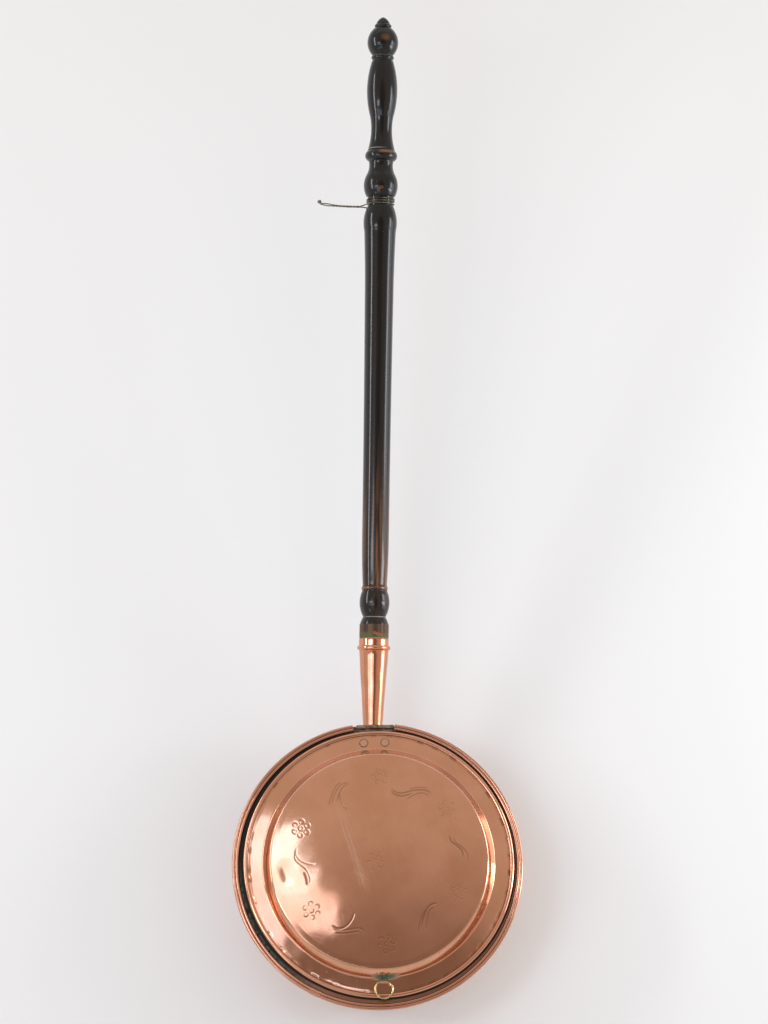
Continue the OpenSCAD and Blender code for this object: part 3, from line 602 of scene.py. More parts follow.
@dataclass(frozen=True)
class LidCopper(CopperFinish):
    """Copper of the lid, with green round its rivets and its strap."""

    warm: Colour = (0.65, 0.33, 0.2)
    verdigris: Colour = (0.04, 0.125, 0.062)
    centre: Point = (1.2, 1.6)
    rivets: tuple[Point, ...] = ((-12.4, 127.9), (9.6, 128.3))
    head_r: float = 4.3
    foot_r: float = 119.2
    strap_x: float = 6.2

    def green(self, r: Recipe) -> Signal:
        """Rings round the rivet heads and a lens at the step's foot behind the lift ring."""
        x, y, _ = r.axes()
        patches = r.noise(1.6, 24.0, 3.0).ramp(0.36, 0.58)
        rings = [r.radius(x, y, at).near(self.head_r + 0.1, 0.2, 0.6) for at in self.rivets]
        lens = r.radius(x, y, self.centre).near(self.foot_r - 0.5, 1.5, 2.0) * x.near(self.strap_x - 0.4, 5.5, 12.0)
        soft = r.noise(1.6, 25.0, 2.0).ramp(0.26, 0.42)
        return ((rings[0] + rings[1]) * patches + lens * y.ramp(-60.0, -90.0) * soft).at_most(1.0) * 0.92

    def worked(self, r: Recipe) -> Signal:
        """What the mesh says about its chased lines."""
        return r.mark(WORKED)

    def haze_and_sheen(self, r: Recipe) -> Signal:
        """A streak of fine parallel scratches, left of the middle, and a paler, duller band on the far side of the
        step, which is painted sheen.
        """
        across = r.along((0.957, 0.291, 0.0), (-25.5, 12.5, 0.0))
        along = r.along((-0.291, 0.957, 0.0), (-25.5, 12.5, 0.0))
        threads = r.noise((0.6, 60.0, 60.0), 91.0, 3.0, (0.0, 0.0, 16.9)).ramp(0.42, 0.66)
        x, y, _ = r.axes()
        # Painted sheen: the step's far side is made paler and rougher.
        step = r.radius(x, y, self.centre).near(115.5, 3.4, 0.8) * y.ramp(5.0, 70.0)
        return threads * across.near(0.0, 2.0, 5.0) * along.near(0.0, 30.0, 24.0) * 0.75 + step * 0.8


@dataclass(frozen=True)
class StrapCopper(CopperFinish):
    """Copper of the ring's strap, green where its legs go into the step."""

    verdigris: Colour = (0.02, 0.075, 0.04)

    def green(self, r: Recipe) -> Signal:
        """Both legs, away from the fold that holds the ring."""
        return r.axes()[1].ramp(-121.6, -120.4) * 0.95


@dataclass(frozen=True)
class RivetCopper(CopperFinish):
    """Copper of the rivet heads, with dark green dirt round their edges."""

    at: tuple[Point, ...] = ((-12.4, 127.9), (9.6, 128.3))
    edge_r: float = 4.1
    verdigris: Colour = (0.075, 0.075, 0.045)

    def green(self, r: Recipe) -> Signal:
        """A ring along the edge of each head."""
        x, y, _ = r.axes()
        rings = [r.radius(x, y, at).ramp(self.edge_r - 0.9, self.edge_r - 0.2) for at in self.at]
        return rings[0].at_most(rings[1]) * r.noise(1.3, 77.0, 2.0).ramp(0.25, 0.42) * 0.9


@dataclass(frozen=True)
class AgedFinish:
    """Metal that nobody polishes: dark, blotched and green in its corners."""

    name: str
    dark: Colour
    light: Colour
    green: Colour
    green_share: float
    rough: float = 0.42
    seed: float = 0.0

    def build(self) -> bpy.types.Material:
        """Makes the material."""
        material, r = new_recipe(self.name)
        blotches = r.noise(6.0, self.seed, 4.0).ramp(0.38, 0.66)
        green = r.noise(3.2, self.seed + 1.0, 3.0).ramp(0.66 - self.green_share * 0.3, 0.74) * self.green_share
        colour = r.tint(green, r.tint(blotches, self.dark, self.light), self.green)
        rough = self.rough - blotches * 0.12 + green * 0.3
        height = r.noise(1.2, self.seed + 2.0, 3.0) * 0.03 + green * 0.02
        metal = 1.0 - green
        r.surface({"Base Color": colour, "Metallic": metal, "Roughness": rough, "Normal": r.bump(height)})
        return material


@dataclass(frozen=True)
class SootFinish:
    """Copper that has met hot coals: brown-black scale over a dull red metal."""

    name: str = "sooty_copper"
    scale: Colour = (0.035, 0.026, 0.022)
    metal: Colour = (0.30, 0.14, 0.09)
    seed: float = 71.0

    def build(self) -> bpy.types.Material:
        """Makes the material."""
        material, r = new_recipe(self.name)
        bare = r.noise(24.0, self.seed, 5.0).ramp(0.46, 0.66)
        grit = r.noise(1.4, self.seed + 1.0, 3.0)
        colour = r.tint(bare, self.scale, self.metal)
        height = r.noise(30.0, self.seed + 2.0, 2.0) * 0.2 + grit * 0.08
        rough = 0.75 - bare * 0.3 + grit * 0.1
        r.surface({"Base Color": colour, "Metallic": bare * 0.8, "Roughness": rough, "Normal": r.bump(height)})
        return material


@dataclass(frozen=True)
class HandleAxis:
    """Straight axis of the handle: distances run from the rim of the pan to the tip."""

    origin: Place = (-2.3, 149.0, 69.45)
    skew: float = 1.5
    lift: float = 12.0

    def frame(self) -> np.ndarray:
        """Rows that point right, down and along the handle."""
        k, l = math.radians(self.skew), math.radians(self.lift)
        right = (math.cos(k), -math.sin(k), 0.0)
        down = (math.sin(k) * math.sin(l), math.cos(k) * math.sin(l), -math.cos(l))
        along = (math.sin(k) * math.cos(l), math.cos(k) * math.cos(l), math.sin(l))
        return np.array((right, down, along))

    def place(self, local: np.ndarray) -> np.ndarray:
        """Takes points (right, down, along) to the row frame."""
        return np.array(self.origin) + local @ self.frame()


@dataclass(frozen=True)
class WoodFinish:
    """Ebonised wood under an old polish, worn to brown where it is handled and next to the pan."""

    axis: HandleAxis
    name: str = "ebonised_wood"
    black: Colour = (0.0045, 0.0045, 0.005)
    umber: Colour = (0.024, 0.012, 0.008)
    brown: Colour = (0.23, 0.1, 0.042)
    golden: Colour = (0.27, 0.1, 0.04)
    mauve: Colour = (0.15, 0.092, 0.058)
    verdigris: Colour = (0.12, 0.125, 0.045)
    dust: Colour = (0.42, 0.40, 0.36)
    smooth: float = 0.22
    seed: float = 20.0

    def build(self) -> bpy.types.Material:
        """Makes the material."""
        material, r = new_recipe(self.name)
        right, down, along = (tuple(float(c) for c in row) for row in self.axis.frame())
        s = r.along(along, self.axis.origin)
        u = r.along(right, self.axis.origin)
        top = r.along(down, self.axis.origin).ramp(2.0, -6.0)
        grain = (self.axis.lift, 0.0, -self.axis.skew)
        streaks = r.noise((4.2, 90.0, 4.2), self.seed, 3.0, grain)
        patches = r.noise(11.0, self.seed + 3.0, 3.0)
        low = s.ramp(330.0, 130.0)
        deep = r.tint(low * (0.25 + 0.65 * s.ramp(141.0, 152.0)), self.black, self.umber)
        sides = u.near(1.5, 2.5, 3.5) + abs(u + 1.0).ramp(6.0, 12.0)
        worn = streaks.ramp(0.4, 0.68) * (0.03 + 0.9 * low * sides.at_most(1.0))
        worn = worn * (0.22 + 0.78 * s.ramp(141.0, 152.0))
        colour = r.tint(worn, deep, self.brown)
        rings = s.near(145.8, 0.9, 0.7) * patches.ramp(0.36, 0.56)
        rings = rings + s.near(606.3, 1.1, 1.0) * u.ramp(-14.0, 4.0) * patches.ramp(0.36, 0.5)
        spots = r.radius(s, u * 0.75, (727.9, 2.2)).ramp(5.5, 1.0) * 0.55
        spots = spots + r.radius(s * 1.6, u, (907.4, -0.7)).ramp(4.2, 1.5)
        rings = (rings + spots * top * patches.ramp(0.34, 0.56)).at_most(1.0) * 0.7
        colour = r.tint(rings, colour, self.golden)
        band = s.ramp(108.3, 107.4)
        colour = r.tint(band * (0.4 + 0.55 * streaks.ramp(0.38, 0.6)), colour, self.mauve)
        green = s.ramp(101.5, 96.5) * patches.ramp(0.36, 0.52)
        colour = r.tint(green * 0.8, colour, self.verdigris)
        chip = (s + u * 0.3).near(98.6, 1.2, 0.8) * u.near(3.5, 4.0, 1.5) * top
        colour = r.tint(chip, colour, self.golden)
        grooves = s.near(115.6, 0.25, 0.35) + s.near(610.4, 0.3, 0.4) * u.ramp(8.0, -6.0)
        grooves = grooves + s.near(709.8, 0.15, 0.25) * 0.5
        dust = (grooves + s.near(93.2, 0.3, 0.3)).at_most(1.0) * patches.ramp(0.32, 0.46)
        nicks = r.noise((0.9, 2.0, 0.9), self.seed + 5.0, 1.0).ramp(0.765, 0.79)
        pale = (dust * 0.6 + nicks * 0.8).at_most(1.0)
        colour = r.tint(pale, colour, self.dust)
        rough = self.smooth + worn * 0.1 + band * 0.2 + patches * 0.08 + pale * 0.3
        height = r.noise((1.0, 26.0, 1.0), self.seed + 2.0, 2.0, grain) * 0.04 + patches * 0.03 - nicks * 0.06
        shader = {"Base Color": colour, "Roughness": rough, "Normal": r.bump(height)}
        shader |= {"Coat Weight": 0.6 * (1.0 - band) * (1.0 - pale), "Coat Roughness": 0.09}
        r.surface(shader | {"Specular IOR Level": 0.12})
        return material


@dataclass(frozen=True)
class Stroke:
    """One chased line: a smooth curve through given points, in millimetres from the lid's centre."""

    points: tuple[Point, ...]
    width: float = 0.5
    depth: float = 0.08

    def path(self) -> np.ndarray:
        """Curve through the points: each stretch is the cubic whose end slopes are half its neighbours' span."""
        p = np.array(self.points)
        p = np.vstack((2 * p[0] - p[1], p, 2 * p[-1] - p[-2]))
        t = np.linspace(0.0, 1.0, 6, endpoint=False)[:, None]
        a, b, c, d = p[:-3, None], p[1:-2, None], p[2:-1, None], p[3:, None]
        curve = b + t / 2 * ((c - a) + t * ((2 * a - 5 * b + 4 * c - d) + t * (3 * (b - c) + d - a)))
        return np.vstack((curve.reshape(-1, 2), p[-2]))

    def press(self, x: np.ndarray, y: np.ndarray) -> np.ndarray:
        """How deep the line is at each point, from 0 to 1.

        A bell curve of the distance to the nearest stretch of the path, which fades towards both ends.
        """
        path = self.path()
        start, step = path[:-1], np.diff(path, axis=0)
        offset = np.stack((x, y), axis=-1)[..., None, :] - start
        share = np.clip((offset * step).sum(-1) / (step * step).sum(-1), 0.0, 1.0)
        gap = np.linalg.norm(offset - share[..., None] * step, axis=-1)
        nearest = gap.argmin(axis=-1)
        pick = np.take_along_axis
        at = (nearest + pick(share, nearest[..., None], -1)[..., 0]) / len(step)
        fade = ease(np.minimum(at, 1.0 - at) / 0.18)
        return np.exp(-((gap.min(axis=-1) / self.width) ** 2)) * fade


@dataclass(frozen=True)
class Flower:
    """Seven punched rings: one in the middle and six round it."""

    at: Point
    turn: float
    ring_r: float = 2.3
    spread: float = 7.1
    width: float = 0.5
    depth: float = 0.1

    def press(self, x: np.ndarray, y: np.ndarray) -> np.ndarray:
        """How deep the rings are: a bell curve of the distance to the nearest ring's line.

        Each ring is deeper on one side, because the punch leaned that way.
        """
        a = np.radians(self.turn + 60.0 * np.arange(6))
        middles = np.vstack(((0.0, 0.0), self.spread * np.column_stack((np.cos(a), np.sin(a))))) + self.at
        dx, dy = x[..., None] - middles[:, 0], y[..., None] - middles[:, 1]
        gap = np.hypot(dx, dy)
        lean = np.radians(self.turn * 9.0 + 83.0 * np.arange(7))
        side = (dx * np.cos(lean) + dy * np.sin(lean)) / np.maximum(gap, 0.1)
        press = np.exp(-(((gap - self.ring_r) / self.width) ** 2)) * (0.25 + 0.75 * ease(side + 0.6))
        return press.max(axis=-1)


@dataclass(frozen=True)
class Dent:
    """A soft hollow, or a bulge where its depth is negative."""

    at: Point
    size: float
    depth: float

    def height(self, x: np.ndarray, y: np.ndarray) -> np.ndarray:
        """Height change: a bell curve of the distance from its middle."""
        return -self.depth * np.exp(-(((x - self.at[0]) ** 2 + (y - self.at[1]) ** 2) / self.size**2))


@dataclass
class Lid:
    """Raised copper lid, made as its panel and its brim, which meet on the smooth dome."""

    centre: Point = (1.2, 1.6)
    panel_r: float = 111.7
    panel_z: float = 101.63
    dome_h: float = 3.5
    dome_r: float = 1784.0
    foot: Point = (119.5, 90.63)
    brim_edge: Point = (134.67, 88.425)
    flank: tuple[Point, Point] = ((111.95, 101.62), (119.3, 90.66))
    edge_round: float = 3.2
    foot_round: float = 2.2
    sheet_t: float = 1.0
    roll_at: Point = (137.05, 87.05)
    roll_r: float = 2.75
    seam_r: float = 106.0
    strap_holes: tuple[float, ...] = (1.6, 6.9)
    flowers: tuple[Flower, ...] = (
        Flower((-79.7, 34.3), 25.0),
        Flower((2.4, 88.9), 10.0, depth=0.05),
        Flower((70.5, 52.7), 40.0, depth=0.04),
        Flower((79.7, -33.4), 5.0, depth=0.035),
        Flower((6.2, -86.8), 20.0, depth=0.07),
        Flower((-69.6, -51.5), 35.0),
        Flower((-3.4, -1.1), 15.0, depth=0.035),
    )
    strokes: tuple[Stroke, ...] = (
        Stroke(((-52, 56), (-48.5, 66.5), (-43, 78.5), (-37, 82))),
        Stroke(((-49, 56.5), (-44.5, 70), (-38, 79.5), (-28, 82))),
        Stroke(((-43, 60), (-40.5, 69), (-36, 77), (-29, 80.5))),
        Stroke(((-39.5, 73), (-39.5, 66), (-36, 57), (-31, 52))),
        Stroke(((13, 77), (16, 72.5), (19.5, 70.5), (25.5, 70), (36, 72.5), (47, 73), (52.5, 71), (55.5, 67.5)),
            0.55, 0.1),
        Stroke(((12, 74), (16.5, 69), (23, 66.8), (29, 67.5), (38, 70.5)), 0.55, 0.1),
        Stroke(((28, 63), (34, 66), (41, 69.5), (49, 69), (54, 64.5))),
        Stroke(((31, 73.5), (38, 75.3), (45.5, 75.8), (52, 74))),
        Stroke(((-84, 14), (-85.5, 8.5), (-83, 3), (-78, -1), (-70, -3.5), (-64, -3)), 0.5, 0.08),
        Stroke(((-86.5, 9.5), (-85.5, 1.5), (-80, -4), (-75, -8.5), (-71, -19), (-73, -27)), 0.5, 0.09),
        Stroke(((-77, -10), (-74.5, -18), (-73.5, -25.5)), 1.1, 0.12),
        Stroke(((-50, -66), (-44.5, -70), (-38, -69.7), (-32, -65.5), (-28, -59.5), (-26, -53)), 0.65, 0.11),
        Stroke(((-49, -71), (-36, -72), (-21, -70.5), (-13.5, -76.5))),
        Stroke(((-47, -74.5), (-36, -75.5), (-19, -73))),
        Stroke(((60, -45), (52, -47), (47, -53), (43.5, -62.5), (41, -73)), 0.65, 0.1),
        Stroke(((56, -49), (50, -54), (47.5, -64.5), (46, -74))),
        Stroke(((50, -49.5), (44, -56), (40, -66), (38.5, -77))),
        Stroke(((72, 27), (74, 19), (80, 14), (85, 8.5), (86, 0)), 0.65, 0.1),
        Stroke(((76, 24), (78.5, 17.5), (84.5, 13), (90, 6), (90.5, -3))),
    )
    dents: tuple[Dent, ...] = (
        Dent((-97.0, -6.0), 6.5, 0.22),
        Dent((-95.5, -12.0), 6.5, 0.2),
        Dent((-94.0, -18.0), 6.5, 0.22),
        Dent((-78.0, -34.0), 8.0, -0.07),
        Dent((20.0, 86.0), 5.0, 0.22),
        Dent((-30.0, 60.0), 13.0, 0.05),
        Dent((46.0, -60.0), 11.0, 0.06),
        Dent((84.0, 4.0), 12.0, -0.05),
        Dent((-75.0, -105.0), 5.0, 0.16),
        Dent((-70.0, -114.0), 4.5, -0.15),
        Dent((-52.0, -124.0), 4.0, 0.14),
    )
    panel_around: int = 880
    brim_around: int = 640

    def sag(self, x: np.ndarray, y: np.ndarray) -> np.ndarray:
        """Height of the unevenness and of the dents at points measured from the lid's centre."""
        wave = ripple(x, y, 62.0, 0.045, 5) + ripple(x, y, 26.0, 0.008, 6)
        return wave + sum(dent.height(x, y) for dent in self.dents)

    def dome(self, r: np.ndarray) -> np.ndarray:
        """Height of the dome at a distance from its middle: a sphere's cap."""
        return self.panel_z + self.dome_h - self.dome_r + np.sqrt(self.dome_r**2 - r * r)

    def panel(self) -> bpy.types.Object:
        """Makes the chased middle of the lid.

        A point's height is the dome's, with the unevenness added and the depth of every chased line taken off.
        """
        middle = np.concatenate((np.arange(0.5, 13.0, 0.8), np.arange(14.0, 54.0, 2.6)))
        chased = np.concatenate((middle, np.arange(54.0, 101.0, 0.72), np.arange(101.5, self.seam_r, 1.5), [self.seam_r]))
        a = np.linspace(0.0, 2 * np.pi, self.panel_around, endpoint=False)
        x, y = chased[:, None] * np.cos(a), chased[:, None] * np.sin(a)
        worked = np.zeros_like(x)
        cut = np.zeros_like(x)
        for mark in self.flowers + self.strokes:
            spots = np.array([mark.at]) if isinstance(mark, Flower) else np.array(mark.points)
            low, high = spots.min(0) - 10.0, spots.max(0) + 10.0
            close = (x > low[0]) & (x < high[0]) & (y > low[1]) & (y < high[1])
            press = mark.press(x[close], y[close])
            cut[close] = np.maximum(cut[close], mark.depth * press)
            worked[close] = np.maximum(worked[close], press * min(1.0, mark.depth * 6.0))
        top = np.stack((x, y, self.dome(chased)[:, None] + self.sag(x, y) - cut), axis=-1)
        under_r = np.linspace(self.seam_r, 1.0, 10)
        ux, uy = under_r[:, None] * np.cos(a), under_r[:, None] * np.sin(a)
        under = np.stack((ux, uy, self.dome(under_r)[:, None] - self.sheet_t + self.sag(ux, uy)), axis=-1)
        rows = np.concatenate((top, under)) + (*self.centre, 0.0)
        piece = skin("lid_panel", rows)
        values = np.concatenate((worked.ravel(), np.zeros(ux.size))).astype(np.float32)
        piece.data.attributes.new(WORKED, "FLOAT", "POINT").data.foreach_set("value", values)
        self.blacken(piece, len(top), len(rows), self.panel_around)
        return piece

    def outline(self) -> tuple[np.ndarray, int]:
        """Section of the brim's ring, from the seam over the top to the roll and back underneath.

        Returns:
            The closed outline and the number of its points that lie on the upper side.
        """
        rim, heel = self.flank
        top_edge = corner((0.0, self.panel_z + self.dome_h / 2), rim, heel, self.edge_round, 16)
        foot = corner(rim, heel, self.brim_edge, self.foot_round, 12)
        edge = arc(self.roll_at, self.roll_r, 150.0, -190.0, 44)
        dome = line((self.seam_r, float(self.dome(np.array(self.seam_r)))), tuple(top_edge[0]), 5)[:-1]
        flank = line(tuple(top_edge[-1]), tuple(foot[0]), 6)[1:-1]
        brim = line(tuple(foot[-1]), tuple(edge[0]), 13)[1:-1]
        upper = np.vstack((dome, top_edge, flank, foot, brim, edge))
        sheet = np.vstack((dome, top_edge, flank, foot, brim))
        way = unit(np.gradient(sheet, axis=0))
        inner = sheet + self.sheet_t * np.column_stack((way[:, 1], -way[:, 0]))
        return np.vstack((upper, inner[::-1][1:-1:2], inner[:1])), len(upper)

    def brim(self) -> bpy.types.Object:
        """Makes the step, the brim and the rolled edge.

        The outline is turned about the lid's centre and moved along its own normal by the unevenness, by the
        dashes that closing the roll has left in the groove, and by the strap's two holes.
        """
        outline, upper = self.outline()
        rows = turned(outline, self.brim_around)
        x, y = rows[..., 0], rows[..., 1]
        r = np.hypot(x, y)
        direction = np.degrees(np.arctan2(y, x))
        rows[..., 2] += self.sag(x, y) * ease((136.5 - r) / 4.0)
        rows[..., 2] += ripple(x, y, 34.0, 0.05, 7) * ease((r - 112.0) / 8.0) * ease((137.0 - r) / 4.0)
        rng = np.random.default_rng(9)
        dashes = 46
        where = np.arange(dashes) * 360.0 / dashes - 180.0 + rng.uniform(-3.0, 3.0, dashes)
        half = rng.uniform(0.5, 1.7, dashes)
        depth = rng.uniform(0.1, 1.0, dashes) ** 1.5
        gap = np.abs((direction[0][:, None] - where + 180.0) % 360.0 - 180.0)
        dash = (depth * ease((half + 0.5 - gap) / 0.5)).max(axis=1)
        groove = np.exp(-(((r - self.brim_edge[0] + 0.6) / 1.0) ** 2)) * (rows[..., 2] > 87.4)
        worked = groove * (0.25 + 0.75 * dash)
        rows[..., 2] -= groove * (0.12 + 0.5 * dash)
        holes = [np.hypot(x + self.centre[0] - at, rows[..., 2] - 93.3) for at in self.strap_holes]
        front = (y < 0) & (r < self.foot[0] + 0.5)
        pit = ease((1.7 - np.minimum(*holes)) / 0.7) * front
        pit[upper:] = 0.0
        rows[..., 1] += 0.9 * pit
        # The strap's holes are darkened with the tarnish colour too.
        worked = np.maximum(worked, pit)
        worked[upper:] = 0.0
        piece = skin("lid_brim", rows + (*self.centre, 0.0), Ends.JOINED)
        values = worked.astype(np.float32).ravel()
        piece.data.attributes.new(WORKED, "FLOAT", "POINT").data.foreach_set("value", values)
        self.blacken(piece, upper, len(rows), self.brim_around)
        return piece

    def blacken(self, piece: bpy.types.Object, upper: int, count: int, around: int) -> None:
        """Gives the second material to the rows of faces that lie underneath."""
        faces = np.zeros(len(piece.data.polygons), np.int32)
        faces[upper * around : (count - 1) * around] = 1
        faces[-1] = 1
        piece.data.polygons.foreach_set("material_index", faces)

    def build(self, soot: bpy.types.Material) -> None:
        """Makes both pieces of the lid."""
        copper = LidCopper("lid_copper", centre=self.centre).build()
        for piece in (self.panel(), self.brim()):
            install(piece, Body.LID, Slot.COPPER, [copper, soot], "lid_shell")


@dataclass(frozen=True)
class LidRivet:
    """Flat-headed rivet through the brim and the hinge's leaf, with a burr underneath."""

    name: str
    at: Point
    lid_at: Point = (1.2, 1.6)
    brim: tuple[Point, Point] = ((119.5, 90.63), (134.67, 88.425))
    head: Point = (4.3, 0.8)
    shank_r: float = 1.4
    stack: float = 2.2
    burr: Point = (2.7, 0.9)

    def build(self, copper: bpy.types.Material) -> None:
        """Makes the rivet: its outline is turned about the brim's normal at its place."""
        (r0, z0), (r1, z1) = self.brim
        away = np.array(self.at) - self.lid_at
        far = float(np.linalg.norm(away))
        slope = (z1 - z0) / (r1 - r0)
        out = unit(np.array([*(away / far), slope]))
        side = np.array([-away[1], away[0], 0.0]) / far
        up = np.cross(out, side)
        foot = np.array([*self.at, z0 + slope * (far - r0)])
        (hr, hh), (br, bh) = self.head, self.burr
        outline = np.vstack((
            [(0.3, hh + 0.05), (hr * 0.5, hh + 0.03)],
            arc((hr - 0.5, hh - 0.5), 0.5, 80.0, 0.0, 6),
            [(hr, 0.02), (self.shank_r, 0.0), (self.shank_r, -self.stack)],
            arc((br - 0.4, -self.stack - bh + 0.4), 0.4, 60.0, -80.0, 7),
            [(0.3, -self.stack - bh)],
        ))
        local = turned(outline, 48)
        rows = foot + local[..., :1] * out + local[..., 1:2] * side + local[..., 2:] * up
        install(skin(self.name, rows), Body.LID, Slot.COPPER, [copper], "hinge_lid_rivets")


@dataclass
class Pan:
    """The pan with its wall, ledge and beaded rim band."""

    pan_h: float = 84.0
    sheet_t: float = 1.2
    base_r: float = 110.0
    base_round: float = 20.0
    mouth_r: float = 136.2
    turn_z: float = 81.6
    ledge_round: float = 1.2
    wall_turn: float = -5.66
    flange_r: float = 148.4
    notch_half: float = 20.2
    notch_y: float = 124.2
    notch_z: float = 82.5
    bead_r: float = 1.85
    bead_z: float = 85.6
    beads: Point = (148.15, 145.05)
    band_in_r: float = 143.5
    skirt_r: float = 149.7
    skirt_z: float = 82.0
    slot: tuple[float, float, float] = (148.43, 82.77, 84.03)
    band_from: float = 99.09
    band_to: float = 442.16
    lap_at: float = 245.4
    lap_turn: float = 4.58
    lap_t: float = 0.35

    def bowl(self) -> bpy.types.Object:
        """Makes the pan: base, wall and ledge as one sheet, with a notch for the hinge cut out."""
        wall_end = arc((self.mouth_r + self.ledge_round, self.turn_z), self.ledge_round, 180.0, 90.0, 8)
        base = np.vstack((line((0.6, 0.0), (self.base_r - 1.0, 0.0), 16), arc((self.base_r, self.base_round),
            self.base_round, -90.0, self.wall_turn, 18)))
        wall = line(tuple(base[-1]), tuple(wall_end[0]), 22)[1:-1]
        ledge = line(tuple(wall_end[-1]), (self.flange_r, self.pan_h - self.sheet_t), 6)[1:]
        outer = np.vstack((base, wall, wall_end, ledge))
        way = unit(np.gradient(outer, axis=0))
        inner = (outer + self.sheet_t * np.column_stack((-way[:, 1], way[:, 0])))[::-1]
        outline = np.vstack((outer, inner))
        rows = turned(outline, 512)
        x, y = rows[..., 0], rows[..., 1]
        r = np.hypot(x, y)
        away = ease((np.abs(np.degrees(np.arctan2(y, x)) - 90.0) - 16.0) / 10.0)
        level = ease((rows[..., 2] - 8.0) / 12.0) * ease((80.0 - rows[..., 2]) / 8.0)
        push = ripple(np.arctan2(y, x) * 130.0, rows[..., 2], 46.0, 0.22, 11) * away * level
        rows[..., :2] *= (1.0 + push / np.maximum(r, 1.0))[..., None]
        piece = skin("pan_body", rows)
        faces = np.zeros(len(piece.data.polygons), np.int32)
        faces[(len(outer) + 6) * 512 :] = 1
        faces[-2] = 0
        piece.data.polygons.foreach_set("material_index", faces)
        self.cut_notch(piece)
        return piece

    def cut_notch(self, piece: bpy.types.Object) -> None:
        """Takes a block out of the ledge where the hinge barrel lies."""
        x, y = self.notch_half, self.notch_y
        corners = np.array([(sx * x, sy, sz) for sz in (self.notch_z, 90.0) for sx, sy in ((-1, y), (1, y), (1, 160), (-1, 160))])
        block = skin("notch_block", corners.reshape(2, 4, 3))
        cut = piece.modifiers.new("notch", "BOOLEAN")
        cut.object = block
        cut.operation = "DIFFERENCE"
        cut.solver = "EXACT"
        depsgraph = bpy.context.evaluated_depsgraph_get()
        mesh = bpy.data.meshes.new_from_object(piece.evaluated_get(depsgraph))
        piece.modifiers.clear()
        piece.data = mesh
        bpy.data.objects.remove(block)

    def band(self) -> bpy.types.Object:
        """Makes the folded band with its two beads, swept round the rim from one side of the hinge to the other.

        Over the lap the beads stand proud by its thickness; elsewhere they wander a little, as bent strip does.
        """
        out_bead, in_bead = self.beads
        r, z = self.bead_r, self.bead_z
        meet = math.degrees(math.acos((out_bead - in_bead) / 2 / r))
        side = math.degrees(math.acos((self.skirt_r - out_bead) / r))
        deep, low, high = self.slot
        outline = np.vstack((
            arc((self.skirt_r - 1.0, self.skirt_z + 1.0), 1.0, -90.0, 0.0, 6),
            arc((out_bead, z), r, -side, 180.0 - meet, 20),
            arc((in_bead, z), r, meet, 180.0 + side, 20),
            line((self.band_in_r, high), (deep, high), 2),
            line((deep, low), (self.band_in_r, low), 2),
            line((self.band_in_r, self.skirt_z), (self.skirt_r - 1.6, self.skirt_z), 2),
        ))
        turn = self.band_to - self.band_from
        fine = np.linspace(self.band_from, self.band_to, int(turn / 0.6))
        lap = self.lap_at + np.array([-self.lap_turn - 0.08, -self.lap_turn, 0.0, 0.08])
        angle = np.unique(np.concatenate((fine, lap)))
        a = np.radians(angle)[:, None]
        raised = np.interp(angle, lap, (0.0, 1.0, 1.0, 0.0))[:, None]
        upper = ease((outline[:, 1] - self.pan_h - 0.1) / 0.6)
        middle = np.where(outline[:, 0] > (out_bead + in_bead) / 2, out_bead, in_bead)
        push = outline - np.column_stack((middle, np.full(len(outline), z)))
        push = unit(push) * upper[:, None]
        swell = raised * self.lap_t
        wander = ripple(a * 148.0, 0.0 * a, 60.0, 0.03, 13) * upper
        radius = outline[:, 0] + swell * push[:, 0] - np.maximum(raised, 0.0) * 0.15 + wander - 0.06
        height = outline[:, 1] + swell * push[:, 1] + ripple(a * 148.0, 0.0 * a, 70.0, 0.03, 14) * upper
        rows = np.stack((radius * np.cos(a), radius * np.sin(a), height), axis=-1)
        return skin("rim_band", rows, Ends.FLAT, 40.0)

    def build(self, soot: bpy.types.Material) -> None:
        """Makes the pan and its band."""
        copper = PanCopper("pan_copper", seed=100.0).build()
        install(self.bowl(), Body.PAN, Slot.COPPER, [copper, soot], "pan_bowl")
        install(self.band(), Body.PAN, Slot.COPPER, [BandCopper("band_copper", smooth=0.1, dull=0.18, scratched=0.0, seed=200.0).build()], "pan_rim_band")


